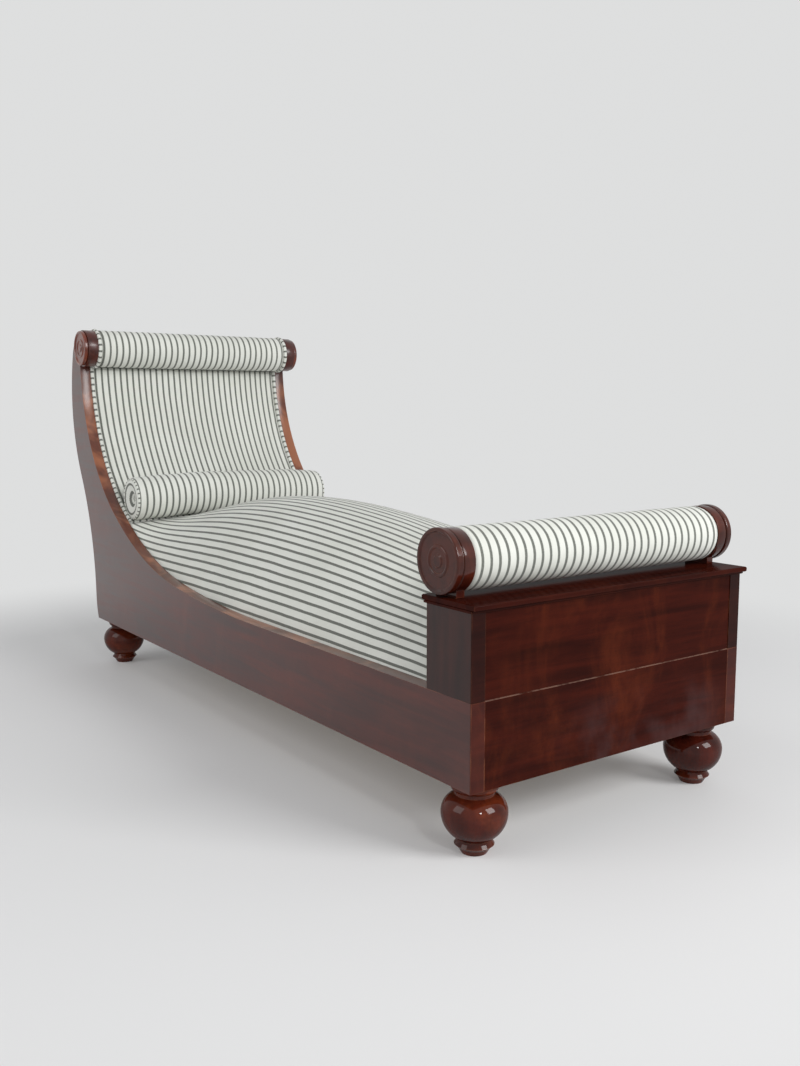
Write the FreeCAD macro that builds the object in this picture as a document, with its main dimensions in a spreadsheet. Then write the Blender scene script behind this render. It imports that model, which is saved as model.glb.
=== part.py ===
import FreeCAD, Part
import math
import os
import Sketcher
from FreeCAD import Placement, Rotation, Vector

# A recamier with a high scrolled head end, a low box-shaped foot end that carries
# a roll, a domed seat that lifts out, a loose bolster and four turned feet.
# +X is the foot end, -X the head end, -Y the near (right) side, +Z up.
# The origin is on the floor, at the middle of the overall length and width.

os.makedirs("parts", exist_ok=True)
doc = FreeCAD.newDocument("Recamier")

# Driving dimensions, in millimetres and degrees
SIZES = {
    # body
    "body_width": 700,
    "body_length": 1794,
    "rail_height": 155,
    "panel_thickness": 30,
    # front edge of a side panel, from the straight rail up to the head roll
    "nose_overhang": 71.935,
    "rail_sweep_radius": 3370,
    "rail_sweep_angle": 7.3,
    "seat_sweep_radius": 960,
    "seat_sweep_angle": 26.5,
    "back_sweep_radius": 542.4,
    # back edge of a side panel, from the heel up to the crest
    "heel_height": 69,
    "heel_setback": 13,
    "lean_radius": 719,
    "belly_radius": 449.6,
    "crest_radius": 98.6,
    # foot end
    "foot_end_depth": 121,
    "foot_end_height": 305.7,
    "face_rail_thickness": 30,
    "face_panel_thickness": 18,
    "face_panel_recess": 1.5,
    "inner_board_thickness": 14,
    "moulding_height": 5,
    "moulding_overhang": 4,
    "moulding_edge_radius": 2,
    "cap_thickness": 10,
    "cap_side_overhang": 5,
    "cap_inner_overhang": 8,
    "cap_front_overhang": 12,
    "cap_edge_radius": 3,
    # foot roll
    "foot_roll_inset": 85,
    "foot_roll_lift": 61.5,
    "foot_roll_radius": 55.5,
    "foot_roll_core_radius": 20,
    "collar_length": 25.5,
    "collar_groove": 2,
    "roll_end_round": 4,
    "foot_roundel_radius": 57,
    "foot_roundel_thickness": 14,
    "roll_block_width": 56,
    "roll_block_length": 18,
    "roll_block_height": 19,
    # head roll
    "scroll_radius": 54,
    "scroll_forward": 30.65,
    "scroll_rise": 27.03,
    "head_roll_radius": 55,
    "head_roll_core_radius": 24,
    "head_roundel_radius": 51,
    "head_roundel_thickness": 11,
    # rings turned on the face of every roundel
    "rim_width": 6,
    "rim_edge_radius": 3,
    "ring_radius": 25,
    "ring_width": 7,
    "ring_sink": 3,
    "boss_radius": 10,
    "boss_height": 2.5,
    # trim along the edges of the back and round the ends of the head roll
    "welt_width": 11,
    "welt_depth": 8,
    "welt_stand": 4,
    # back
    "back_hollow": 4,
    "back_pad_thickness": 30,
    "webbing_thickness": 2.5,
    "strap_width": 50,
    "back_strap_count": 6,
    "back_crease_angle": 61,
    "back_top_angle": 3,
    "cross_rail_width": 56,
    "cross_rail_thickness": 22,
    "top_rail_angle": 8,
    "middle_rail_angle": 27,
    "lower_rail_angle": 54,
    "cover_inset": 8,
    "cover_thickness": 3,
    "head_rail_thickness": 35,
    "head_rail_setback": 2,
    # corner blocks, ledgers and screws
    "block_size": 66,
    "block_height": 66,
    "ledger_top": 70,
    "ledger_height": 28,
    "ledger_width": 25,
    "screw_radius": 2.5,
    "screw_head_radius": 4.5,
    "screw_head_height": 3,
    "screw_length": 45,
    "screw_clearance": 0.1,
    "ledger_screw_count": 7,
    # feet
    "foot_height": 131.3,
    "foot_inset": 57,
    "foot_collar_radius": 43,
    "foot_collar_height": 18,
    "foot_gorge_radius": 36,
    "foot_gorge_step": 3,
    "foot_shoulder_radius": 42,
    "foot_shoulder_height": 103,
    "foot_bulb_radius": 59,
    "foot_bulb_height": 73,
    "foot_neck_radius": 30,
    "foot_neck_height": 26,
    "foot_ring_radius": 35.5,
    "foot_ring_middle": 16,
    "foot_ring_height": 12,
    "foot_ring_step": 4,
    "foot_base_radius": 23,
    "foot_base_flare": 6,
    "spigot_radius": 14,
    "spigot_length": 50,
    "spigot_clearance": 0.05,
    # drop-in seat
    "seat_side_clearance": 1,
    "seat_foot_gap": 3,
    "seat_head_gap": 7.5,
    "seat_rail_width": 45,
    "seat_rail_height": 50,
    "seat_bar_width": 40,
    "seat_bar_height": 30,
    "seat_strap_count_across": 11,
    "seat_strap_count_along": 4,
    "hessian_thickness": 1,
    "seat_pad_overhang": 23,
    "seat_pad_lip": 28,
    "seat_edge_drop": 4,
    "seat_crest_height": 403,
    "seat_crest_reach": 754,
    "seat_crest_head_radius": 1810,
    "seat_crest_foot_radius": 3300,
    "seat_end_round": 60,
    "seat_end_height": 160,
    # bolster
    "bolster_radius": 63,
    "bolster_end_gap": 10,
    "bolster_dimple": 16,
    "bolster_corner": 18,
    # small gaps
    "rest_gap": 0.3,
    "soft_clearance": 0.5,
    "fit_clearance": 0.2,
}

sheet = doc.addObject("Spreadsheet::Sheet", "Sizes")


def note(row, alias, number):
    """Write one named number on a row of the sheet."""
    sheet.set("A%d" % row, alias)
    sheet.set("B%d" % row, repr(number))
    sheet.setAlias("B%d" % row, alias)


for row, (alias, number) in enumerate(SIZES.items(), start=1):
    note(row, alias, number)
doc.recompute()


class Measure:
    """A length that carries its number and its formula on the sheet."""

    def __init__(self, number, formula):
        self.number = float(number)
        self.formula = formula

    def __float__(self):
        return self.number

    def join(self, other, sign, number):
        return Measure(number, "(%s %s %s)" % (self.formula, sign, formula_of(other)))

    def __add__(self, other):
        return self.join(other, "+", self.number + float(other))

    def __sub__(self, other):
        return self.join(other, "-", self.number - float(other))

    def __mul__(self, other):
        return self.join(other, "*", self.number * float(other))

    def __truediv__(self, other):
        return self.join(other, "/", self.number / float(other))

    def __neg__(self):
        return Measure(-self.number, "(0 - %s)" % self.formula)


def formula_of(amount):
    """The sheet formula of a measure, or a plain number as text."""
    return amount.formula if isinstance(amount, Measure) else repr(float(amount))


def size(alias):
    """One driving dimension of the sheet."""
    return Measure(sheet.get(alias), "Sizes.%s" % alias)


def plain(amount):
    """A plain number as a measure, for a place that is on an origin plane."""
    return amount if isinstance(amount, Measure) else Measure(amount, repr(float(amount)))


def bind(thing, name, amount):
    """Tie one property to the sheet."""
    thing.setExpression(name, formula_of(amount))


def bind_base(thing, x, y, z):
    """Tie the three coordinates of a placement to the sheet."""
    thing.Placement.Base = Vector(float(x), float(y), float(z))
    bind(thing, "Placement.Base.x", x)
    bind(thing, "Placement.Base.y", y)
    bind(thing, "Placement.Base.z", z)


# Main lines of the body
half_width = size("body_width") / 2
panel = size("panel_thickness")
inner_half = half_width - panel
floor_gap = size("foot_height")
rail_top = floor_gap + size("rail_height")
foot_end_top = floor_gap + size("foot_end_height")
cap_base = foot_end_top + size("moulding_height")
cap_top = cap_base + size("cap_thickness")
soft = size("soft_clearance")


class Path:
    """A line in the XZ plane that runs on in tangent arcs and straight stretches."""

    def __init__(self, x, z, heading):
        self.x = float(x)
        self.z = float(z)
        self.heading = heading
        self.edges = []

    def place(self):
        return Vector(self.x, 0, self.z)

    def centre(self, radius, side):
        """Centre of an arc that starts here; side is 1 to the left, -1 to the right."""
        turn = math.radians(self.heading + 90 * side)
        return self.place() + Vector(math.cos(turn), 0, math.sin(turn)) * radius

    def arc(self, radius, turn):
        """Arc of a radius through a turn in degrees, to the left when it is positive."""
        side = 1 if turn > 0 else -1
        centre = self.centre(float(radius), side)
        points = [self.place()]
        for share in (0.5, 1):
            angle = math.radians(self.heading - 90 * side + turn * share)
            points.append(centre + Vector(math.cos(angle), 0, math.sin(angle)) * float(radius))
        self.edges.append(Part.Arc(*points).toShape())
        self.x, self.z = points[2].x, points[2].z
        self.heading += turn
        return self

    def line_to(self, x, z):
        """Straight stretch to a point."""
        start = self.place()
        self.x, self.z = float(x), float(z)
        self.edges.append(Part.makeLine(start, self.place()))
        return self

    def face(self):
        """The closed outline as a face."""
        first = self.edges[0].Vertexes[0].Point
        self.line_to(first.x, first.z)
        return Part.Face(Part.Wire(self.edges))


def front_edge(x, z, offset=0.0):
    """Path of a side panel's front edge from the rail up, moved into the panel by offset."""
    path = Path(x, z, 180)
    for name in ("rail_sweep", "seat_sweep"):
        path.arc(float(size(name + "_radius")) + offset, -float(size(name + "_angle")))
    left_over = 90 - float(size("rail_sweep_angle")) - float(size("seat_sweep_angle"))
    path.arc(float(size("back_sweep_radius")) + offset, -left_over)
    return path


def meeting(first, first_radius, second, second_radius):
    """The point at one radius from each of two centres, right of the way between them."""
    apart = second - first
    share = (first_radius ** 2 - second_radius ** 2 + apart.Length ** 2) / (2 * apart.Length)
    rise = math.sqrt(first_radius ** 2 - share ** 2)
    along = Vector(apart).normalize()
    across = Vector(along.z, 0, -along.x)
    return first + along * share + across * rise


def bearing(start, end):
    """Direction from one point to another in the XZ plane, in degrees."""
    return math.degrees(math.atan2(end.z - start.z, end.x - start.x)) % 360


# The head end, worked out with the foot face at zero: the front edge carries the scroll,
# and the back edge runs in three tangent arcs from the heel to the scroll's crest
body_length = float(size("body_length"))
scroll_radius = float(size("scroll_radius"))
lean_radius = float(size("lean_radius"))
belly_radius = float(size("belly_radius"))
crest_radius = float(size("crest_radius"))
back_radius = float(size("back_sweep_radius"))
sweep = front_edge(0, rail_top)
nose = Vector(-body_length - float(size("nose_overhang")), 0, sweep.z)
axis_x = nose.x + float(size("scroll_forward"))
axis_z = nose.z + float(size("scroll_rise"))
heel = Vector(-body_length, 0, float(floor_gap + size("heel_height")))
lean_centre = heel - Vector(lean_radius, 0, 0)
crest_centre = Vector(axis_x, 0, axis_z + scroll_radius - crest_radius)
belly_centre = meeting(
    lean_centre, lean_radius + belly_radius, crest_centre, belly_radius - crest_radius
)
lean_turn = bearing(lean_centre, belly_centre)
belly_turn = 180 + lean_turn - bearing(belly_centre, crest_centre)
note(len(SIZES) + 1, "head_reach", belly_radius - belly_centre.x)
doc.recompute()

# The overall length puts the origin at its middle
head_reach = size("head_reach")
foot_face = (head_reach - size("cap_front_overhang")) / 2
foot_inner = foot_face - size("foot_end_depth")
heel_face = foot_face - size("body_length")
sweep_x = foot_face + (nose.x - sweep.x)
scroll_axis = Vector(float(foot_face) + axis_x, 0, axis_z)
crest = scroll_axis + Vector(0, 0, scroll_radius)
back_centre = Vector(float(foot_face) + nose.x + back_radius, 0, nose.z)


def back_edge(offset=0.0):
    """Path of a side panel's back edge from the heel to the crest, moved in by offset."""
    path = Path(float(heel_face) + offset, floor_gap + size("heel_height"), 90)
    path.arc(lean_radius + offset, lean_turn)
    path.arc(belly_radius - offset, -belly_turn)
    path.arc(crest_radius - offset, belly_turn - lean_turn - 90)
    return path


NODES = []


def keep(thing, label):
    """Name a finished sub-part, whose label is also its file name."""
    thing.Label = label
    NODES.append(thing)
    return thing


def box(x_span, y_span, z_span, name="Block"):
    """A rectangular piece between two places on each axis."""
    block = doc.addObject("Part::Box", name)
    bind(block, "Length", plain(x_span[1]) - x_span[0])
    bind(block, "Width", plain(y_span[1]) - y_span[0])
    bind(block, "Height", plain(z_span[1]) - z_span[0])
    bind_base(block, x_span[0], y_span[0], z_span[0])
    return block


def rod(radius, length, base, direction, name="Rod"):
    """A round piece that starts at base and runs along direction."""
    cylinder = doc.addObject("Part::Cylinder", name)
    bind(cylinder, "Radius", radius)
    bind(cylinder, "Height", length)
    cylinder.Placement.Rotation = Rotation(Vector(0, 0, 1), direction)
    bind_base(cylinder, *base)
    return cylinder


def cut(base, tools, name="Cut"):
    """Base with each tool taken away."""
    result = base
    for tool in tools:
        step = doc.addObject("Part::Cut", name)
        step.Base = result
        step.Tool = tool
        result = step
    return result


def solid(label, shape):
    """A sub-part whose curved form is built from the sheet's values."""
    feature = doc.addObject("Part::Feature", label)
    feature.Shape = shape
    return keep(feature, label)


def origin_plane(body, role):
    """One of the body's own origin planes or axes."""
    return [item for item in body.Origin.OriginFeatures if item.Role == role][0]


def arc_between(start, end, radius, left):
    """Arc from start to end whose centre is on the left or right of the way."""
    chord = end - start
    half = chord.Length / 2
    rise = math.sqrt(max(radius ** 2 - half ** 2, 0))
    normal = Vector(-chord.y, chord.x, 0).normalize()
    centre = (start + end) * 0.5 + normal * (rise if left else -rise)
    first, last = (start, end) if left else (end, start)
    circle = Part.Circle(centre, Vector(0, 0, 1), radius)
    begin = math.atan2(first.y - centre.y, first.x - centre.x)
    finish = math.atan2(last.y - centre.y, last.x - centre.x)
    if finish <= begin:
        finish += 2 * math.pi
    return Part.ArcOfCircle(circle, begin, finish)


def draw_profile(body, plane_role, points, arcs):
    """Closed sketch through points; arcs maps a segment to (radius, centre on left)."""
    sketch = body.newObject("Sketcher::SketchObject", "Profile")
    sketch.AttachmentSupport = [(origin_plane(body, plane_role), "")]
    sketch.MapMode = "FlatFace"
    places = [Vector(float(across), float(up), 0) for across, up in points]
    starts = []
    ends = []
    for index, place in enumerate(places):
        following = places[(index + 1) % len(places)]
        if index in arcs:
            radius, left = arcs[index]
            curve = arc_between(place, following, float(radius), left)
            number = sketch.addGeometry(curve)
            starts.append((number, 1 if left else 2))
            ends.append((number, 2 if left else 1))
            tied = sketch.addConstraint(Sketcher.Constraint("Radius", number, float(radius)))
            bind(sketch, "Constraints[%d]" % tied, radius)
        else:
            number = sketch.addGeometry(Part.LineSegment(place, following))
            starts.append((number, 1))
            ends.append((number, 2))
    for index, (across, up) in enumerate(points):
        here = starts[index]
        before = ends[index - 1]
        sketch.addConstraint(Sketcher.Constraint("Coincident", *before, *here))
        for axis, amount, line in (("DistanceX", across, -2), ("DistanceY", up, -1)):
            if float(amount) == 0:
                sketch.addConstraint(Sketcher.Constraint("PointOnObject", *here, line))
            else:
                rule = Sketcher.Constraint(axis, -1, 1, *here, float(amount))
                tied = sketch.addConstraint(rule)
                bind(sketch, "Constraints[%d]" % tied, amount)
    return sketch


def turned(label, points, arcs, base, direction=Vector(0, 0, 1)):
    """A piece made on the lathe: a profile of (radius, height) spun round its axis."""
    body = doc.addObject("PartDesign::Body", "Turned")
    sketch = draw_profile(body, "XZ_Plane", points, arcs)
    spin = body.newObject("PartDesign::Revolution", "Spin")
    spin.Profile = sketch
    spin.ReferenceAxis = (sketch, ["V_Axis"])
    spin.Angle = 360
    body.Tip = spin
    body.Placement.Rotation = Rotation(Vector(0, 0, 1), direction)
    bind_base(body, *base)
    return keep(body, label)


def extruded(face, y_start, y_end):
    """A face in the XZ plane, moved to y_start and drawn out to y_end."""
    moved = face.copy()
    moved.translate(Vector(0, float(y_start), 0))
    return moved.extrude(Vector(0, float(y_end) - float(y_start), 0))


def along_y(radius, centre, y_start, y_end):
    """A cylinder round an axis across the piece."""
    length = float(y_end) - float(y_start)
    base = Vector(centre.x, float(y_start), centre.z)
    return Part.makeCylinder(float(radius), length, base, Vector(0, 1, 0))


def sector(inner, outer, top_angle, low_angle):
    """Face between two arcs about the centre of the back, angles below level."""
    corners = []
    for radius in (inner, outer):
        for share in (0, 0.5, 1):
            angle = math.radians(top_angle + (low_angle - top_angle) * share)
            aim = Vector(-math.cos(angle), 0, -math.sin(angle))
            corners.append(back_centre + aim * radius)
    first, second = corners[:3], corners[3:]
    edges = [
        Part.Arc(*first).toShape(),
        Part.makeLine(first[2], second[2]),
        Part.Arc(*reversed(second)).toShape(),
        Part.makeLine(second[0], first[0]),
    ]
    return Part.Face(Part.Wire(edges))


def rows(count, start, end):
    """Evenly spaced middles of count strips between start and end."""
    step = (float(end) - float(start)) / count
    return [float(start) + step * (index + 0.5) for index in range(count)]


def side_span(side, near, far):
    """Low and high Y of a piece between two distances from the middle plane."""
    return (plain(near), plain(far)) if side > 0 else (-plain(far), -plain(near))


SIDES = (("right", -1), ("left", 1))

# Places inside the body
heel_corner = heel_face + size("heel_setback")
ledger_top = floor_gap + size("ledger_top")
ledger_low = ledger_top - size("ledger_height")
ledger_face = inner_half - size("ledger_width")
face_rail_inner = foot_face - size("face_rail_thickness")
head_rail_outer = heel_face + size("head_rail_setback")
head_rail_inner = head_rail_outer + size("head_rail_thickness")
corner_block = size("block_size")
block_top = floor_gap + size("block_height")
ledger_head = head_rail_inner + corner_block + size("fit_clearance")
ledger_foot = foot_inner - size("fit_clearance")
FEET = (
    ("foot", foot_face - size("foot_inset")),
    ("head", heel_corner + size("foot_inset")),
)
BLOCKS = {
    "foot": (face_rail_inner - corner_block, face_rail_inner),
    "head": (head_rail_inner, head_rail_inner + corner_block),
}


def screw_shape(x, side, z, extra):
    """A countersunk screw that runs out to the side panel, grown by extra all round."""
    radius = float(size("screw_radius")) + extra
    head_radius = float(size("screw_head_radius")) + extra
    tip = Vector(x, side * float(ledger_face), z)
    way = Vector(0, side, 0)
    shank = Part.makeCylinder(radius, float(size("screw_length")) + extra, tip, way)
    head = Part.makeCone(head_radius, radius, float(size("screw_head_height")), tip, way)
    return shank.fuse(head).removeSplitter()


def screw_places():
    """X and Z of each screw of one side: along the ledger, then in the corner blocks."""
    middle = float(ledger_low + size("ledger_height") / 2)
    count = int(float(size("ledger_screw_count")))
    places = [(x, middle) for x in rows(count, ledger_head, ledger_foot)]
    block_row = float(floor_gap + (size("spigot_length") + size("block_height")) / 2)
    for low, high in BLOCKS.values():
        places += [(x, block_row) for x in rows(2, low, high)]
    return places


def screw_set(side, extra=0.0):
    """Every screw of one side."""
    return [screw_shape(x, side, z, extra) for x, z in screw_places()]


def drilled(shape, side):
    """A shape with the screw holes of its side."""
    return shape.cut(Part.makeCompound(screw_set(side, float(size("screw_clearance")))))


# Side panels: rail, sabre-shaped side and scroll in one board
def panel_face():
    """Outline of a side panel without its scroll."""
    path = front_edge(sweep_x, rail_top)
    path.line_to(path.x, scroll_axis.z)
    path.line_to(scroll_axis.x, scroll_axis.z)
    path.line_to(crest.x, crest.z)
    path.edges += list(reversed(back_edge().edges))
    heel_top = Vector(float(heel_face), 0, float(floor_gap + size("heel_height")))
    heel_foot = Vector(float(heel_corner), 0, float(floor_gap))
    bulge = Vector(-float(size("heel_setback")) / 4, 0, 0)
    path.edges.append(Part.Arc(heel_top, (heel_top + heel_foot) * 0.5 + bulge, heel_foot).toShape())
    path.x, path.z = heel_foot.x, heel_foot.z
    path.line_to(foot_face, floor_gap)
    path.line_to(foot_face, rail_top)
    path.line_to(sweep_x, rail_top)
    return Part.Face(Part.Wire(path.edges))


for name, side in SIDES:
    low, high = side_span(side, inner_half, half_width)
    blade = extruded(panel_face(), low, high)
    scroll = along_y(scroll_radius, scroll_axis, low, high)
    solid("side_panel_" + name, drilled(blade.fuse(scroll).removeSplitter(), side))

# Foot end: two cheeks on the side panels, a rail and a panel between them, a cap
for name, side in SIDES:
    cheek_span = side_span(side, inner_half, half_width)
    keep(box((foot_inner, foot_face), cheek_span, (rail_top, foot_end_top)), "foot_cheek_" + name)
across = (-inner_half, inner_half)
keep(box((face_rail_inner, foot_face), across, (floor_gap, rail_top)), "foot_rail_lower")
panel_front = foot_face - size("face_panel_recess")
panel_span = (panel_front - size("face_panel_thickness"), panel_front)
keep(box(panel_span, across, (rail_top, foot_end_top)), "foot_panel_upper")
inner_span = (foot_inner, foot_inner + size("inner_board_thickness"))
keep(box(inner_span, across, (floor_gap, foot_end_top)), "foot_inner_board")


def rounded_board(label, x_span, y_span, z_span, radius):
    """A flat board whose edges are rounded all round."""
    body = doc.addObject("PartDesign::Body", "Board")
    corners = [(x_span[0], y_span[0]), (x_span[1], y_span[0])]
    corners += [(x_span[1], y_span[1]), (x_span[0], y_span[1])]
    sketch = draw_profile(body, "XY_Plane", corners, {})
    pad = body.newObject("PartDesign::Pad", "Thickness")
    pad.Profile = sketch
    bind(pad, "Length", z_span[1] - z_span[0])
    doc.recompute()
    fillet = body.newObject("PartDesign::Fillet", "Nosing")
    level = [
        "Edge%d" % (number + 1)
        for number, edge in enumerate(pad.Shape.Edges)
        if abs(edge.Vertexes[0].Z - edge.Vertexes[-1].Z) < 0.001
    ]
    fillet.Base = (pad, level)
    bind(fillet, "Radius", radius)
    body.Tip = fillet
    bind_base(body, plain(0), plain(0), z_span[0])
    return keep(body, label)


ledge = size("moulding_overhang")
rounded_board(
    "foot_cap_moulding",
    (foot_inner - ledge, foot_face + ledge),
    (-half_width - ledge, half_width + ledge),
    (foot_end_top, cap_base),
    size("moulding_edge_radius"),
)
cap_side = half_width + size("cap_side_overhang")
rounded_board(
    "foot_cap",
    (foot_inner - size("cap_inner_overhang"), foot_face + size("cap_front_overhang")),
    (-cap_side, cap_side),
    (cap_base, cap_top),
    size("cap_edge_radius"),
)

# Foot roll: a timber core, an upholstered roll, turned collars and roundels
roll_x = foot_face - size("foot_roll_inset")
roll_z = cap_top + size("foot_roll_lift")
roll_radius = size("foot_roll_radius")
roundel_half = size("foot_roundel_thickness") / 2
roundel_inner = half_width - roundel_half
collar_outer = roundel_inner - size("fit_clearance")
collar_inner = collar_outer - size("collar_length")
groove = size("collar_groove")


def roundel(label, radius, thickness, side, base):
    """A turned disc with a rounded rim, one ring and a boss; its face looks outwards."""
    edge = size("rim_edge_radius")
    rim_inner = radius - size("rim_width")
    ring_outer = size("ring_radius") + size("ring_width") / 2
    ring_inner = size("ring_radius") - size("ring_width") / 2
    field = thickness - size("ring_sink")
    boss = size("boss_radius")
    boss_top = field + size("boss_height")
    profile = [
        (plain(0), plain(0)),
        (radius - edge, plain(0)),
        (radius, edge),
        (radius, thickness - edge),
        (radius - edge, thickness),
        (rim_inner, thickness),
        (rim_inner - size("ring_sink"), field),
        (ring_outer, field),
        (ring_inner, field),
        (boss + size("ring_sink"), field),
        (boss, boss_top),
        (plain(0), boss_top),
    ]
    bead = size("ring_width") * 0.55
    arcs = {1: (edge, True), 3: (edge, True), 7: (bead, True)}
    direction = Vector(0, side, 0)
    return turned(label, profile, arcs, base, direction)


for name, side in SIDES:
    start = roundel_inner * side
    roundel(
        "foot_roundel_" + name,
        size("foot_roundel_radius"),
        size("foot_roundel_thickness"),
        side,
        (roll_x, start, roll_z),
    )
    bore = size("foot_roll_core_radius") + size("fit_clearance")
    collar_profile = [
        (bore, plain(0)),
        (roll_radius, plain(0)),
        (roll_radius, size("collar_length") - groove * 2),
        (roll_radius - groove, size("collar_length") - groove),
        (roll_radius - groove, size("collar_length")),
        (bore, size("collar_length")),
    ]
    collar_arcs = {2: (groove, True)}
    turned(
        "foot_roll_collar_" + name,
        collar_profile,
        collar_arcs,
        (roll_x, collar_inner * side, roll_z),
        Vector(0, side, 0),
    )
    block_low, block_high = side_span(
        side,
        collar_outer - groove * 3 - size("roll_block_length"),
        collar_outer - groove * 3,
    )
    half_block = size("roll_block_width") / 2
    block_blank = box(
        (roll_x - half_block, roll_x + half_block),
        (block_low, block_high),
        (cap_top, cap_top + size("roll_block_height")),
    )
    saddle = rod(
        roll_radius + size("fit_clearance"),
        size("body_width"),
        (roll_x, -half_width, roll_z),
        Vector(0, 1, 0),
    )
    keep(cut(block_blank, [saddle]), "foot_roll_block_" + name)

core_reach = roundel_inner - size("fit_clearance")
keep(
    rod(
        size("foot_roll_core_radius"),
        core_reach * 2,
        (roll_x, -core_reach, roll_z),
        Vector(0, 1, 0),
    ),
    "foot_roll_core",
)


def roll_pad(label, radius, bore, reach_y, x, z):
    """Stuffing and cover round a core, with softly rounded ends."""
    round_end = size("roll_end_round")
    length = reach_y * 2
    profile = [
        (bore, plain(0)),
        (radius - round_end, plain(0)),
        (radius, round_end),
        (radius, length - round_end),
        (radius - round_end, length),
        (bore, length),
    ]
    arcs = {1: (round_end, True), 3: (round_end, True)}
    return turned(label, profile, arcs, (x, -reach_y, z), Vector(0, 1, 0))


roll_pad(
    "foot_roll_pad",
    roll_radius,
    size("foot_roll_core_radius") + soft,
    collar_inner - size("fit_clearance"),
    roll_x,
    roll_z,
)

# Head: bottom rail between the heels of the side panels
heel_z = floor_gap + size("heel_height")
rail_profile = Path(float(head_rail_outer), float(heel_z), 90)
rail_profile.line_to(head_rail_outer, rail_top)
rail_profile.line_to(head_rail_inner, rail_top)
rail_profile.line_to(head_rail_inner, floor_gap)
rail_profile.line_to(head_rail_outer + size("heel_setback"), floor_gap)
solid("head_bottom_rail", extruded(rail_profile.face(), -inner_half, inner_half))

# Head roll between the scrolls of the side panels
welt_width = size("welt_width")
head_core = along_y(size("head_roll_core_radius"), scroll_axis, -inner_half, inner_half)
solid("head_roll_core", head_core)
head_pad_reach = inner_half - welt_width - soft
scroll_x = plain(scroll_axis.x)
scroll_z = plain(scroll_axis.z)
roll_pad(
    "head_roll_pad",
    size("head_roll_radius"),
    size("head_roll_core_radius") + soft,
    head_pad_reach,
    scroll_x,
    scroll_z,
)
for name, side in SIDES:
    roundel(
        "head_roundel_" + name,
        size("head_roundel_radius"),
        size("head_roundel_thickness"),
        side,
        (scroll_x, half_width * side, scroll_z),
    )
    low, high = side_span(side, inner_half - welt_width, inner_half - soft)
    ring_radius = float(size("head_roll_radius") + size("welt_stand"))
    ring = along_y(ring_radius, scroll_axis, low, high)
    inside = along_y(ring_radius - float(size("welt_depth")), scroll_axis, low, high)
    solid("roll_welt_" + name, ring.cut(inside))

# Outside of the back: a stretched cover from the bottom rail to the head roll
pad_side = inner_half - soft


def back_band(outer_inset, inner_inset):
    """Band between two lines that run along the panels' back edge."""
    outer = back_edge(outer_inset)
    inner = back_edge(inner_inset)
    top = Part.makeLine(outer.place(), inner.place())
    start = outer.edges[0].Vertexes[0].Point
    finish = inner.edges[0].Vertexes[0].Point
    bottom = Part.makeLine(finish, start)
    return Part.Face(Part.Wire(outer.edges + [top] + list(reversed(inner.edges)) + [bottom]))


cover_outer = float(size("cover_inset"))
cover_inner = cover_outer + float(size("cover_thickness"))
cover = extruded(back_band(cover_outer, cover_inner), -pad_side, pad_side)
below = Part.makeBox(
    float(head_reach),
    float(size("body_width")),
    float(rail_top),
    Vector(-float(head_reach), -float(half_width), 0),
)
welt_space = along_y(ring_radius + float(soft), scroll_axis, -half_width, half_width)
solid("outside_back_cover", cover.cut(below).cut(welt_space))
cover_room = doc.addObject("Part::Feature", "Cover_room")
room_inner = cover_inner + float(size("fit_clearance"))
room_outer = -float(size("cross_rail_width"))
cover_room.Shape = extruded(back_band(room_outer, room_inner), -half_width, half_width)

# Back: cross rails on the sweep of the back, webbing, pad and edge trim
top_angle = float(size("back_top_angle"))
crease_angle = float(size("back_crease_angle"))
pad_face = back_radius + float(size("back_hollow"))
pad_back = pad_face + float(size("back_pad_thickness"))
strap_face = pad_back + float(size("fit_clearance"))
strap_back = strap_face + float(size("webbing_thickness"))
rail_face = strap_back + float(size("fit_clearance"))


def cross_rail(label, angle):
    """A timber rail between the panels: its face lies on the webbing, its back clears the cover."""
    turn = math.radians(float(angle))
    rail = doc.addObject("Part::Box", "Rail")
    bind(rail, "Length", size("cross_rail_thickness"))
    bind(rail, "Width", inner_half * 2)
    bind(rail, "Height", size("cross_rail_width"))
    away = Vector(-math.cos(turn), 0, -math.sin(turn))
    along = Vector(-math.sin(turn), 0, math.cos(turn))
    outer = rail_face + float(size("cross_rail_thickness"))
    corner = back_centre + away * outer - along * (float(size("cross_rail_width")) / 2)
    rail.Placement = Placement(
        Vector(corner.x, -float(inner_half), corner.z),
        Rotation(Vector(0, 1, 0), -float(angle)),
    )
    return keep(cut(rail, [cover_room]), label)


cross_rail("back_top_rail", size("top_rail_angle"))
cross_rail("back_middle_rail", size("middle_rail_angle"))
cross_rail("back_lower_rail", size("lower_rail_angle"))

strap_low = float(size("lower_rail_angle")) + math.degrees(
    float(size("cross_rail_width")) / 2 / rail_face
)
strap_face_area = sector(strap_face, strap_back, top_angle, strap_low)
half_strap = float(size("strap_width")) / 2
straps = [
    extruded(strap_face_area, middle - half_strap, middle + half_strap)
    for middle in rows(int(float(size("back_strap_count"))), -inner_half, inner_half)
]
solid("back_webbing", Part.makeCompound(straps))

back_area = sector(pad_face, pad_back, top_angle, crease_angle)
solid("back_pad", extruded(back_area, -pad_side, pad_side))

welt_front = back_radius - float(size("welt_stand"))
welt_rear = min(welt_front + float(size("welt_depth")), pad_face - float(size("fit_clearance")))
welt_area = sector(welt_front, welt_rear, top_angle, crease_angle)
for name, side in SIDES:
    low, high = side_span(side, inner_half - welt_width, inner_half - soft)
    solid("back_welt_" + name, extruded(welt_area, low, high))

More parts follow.
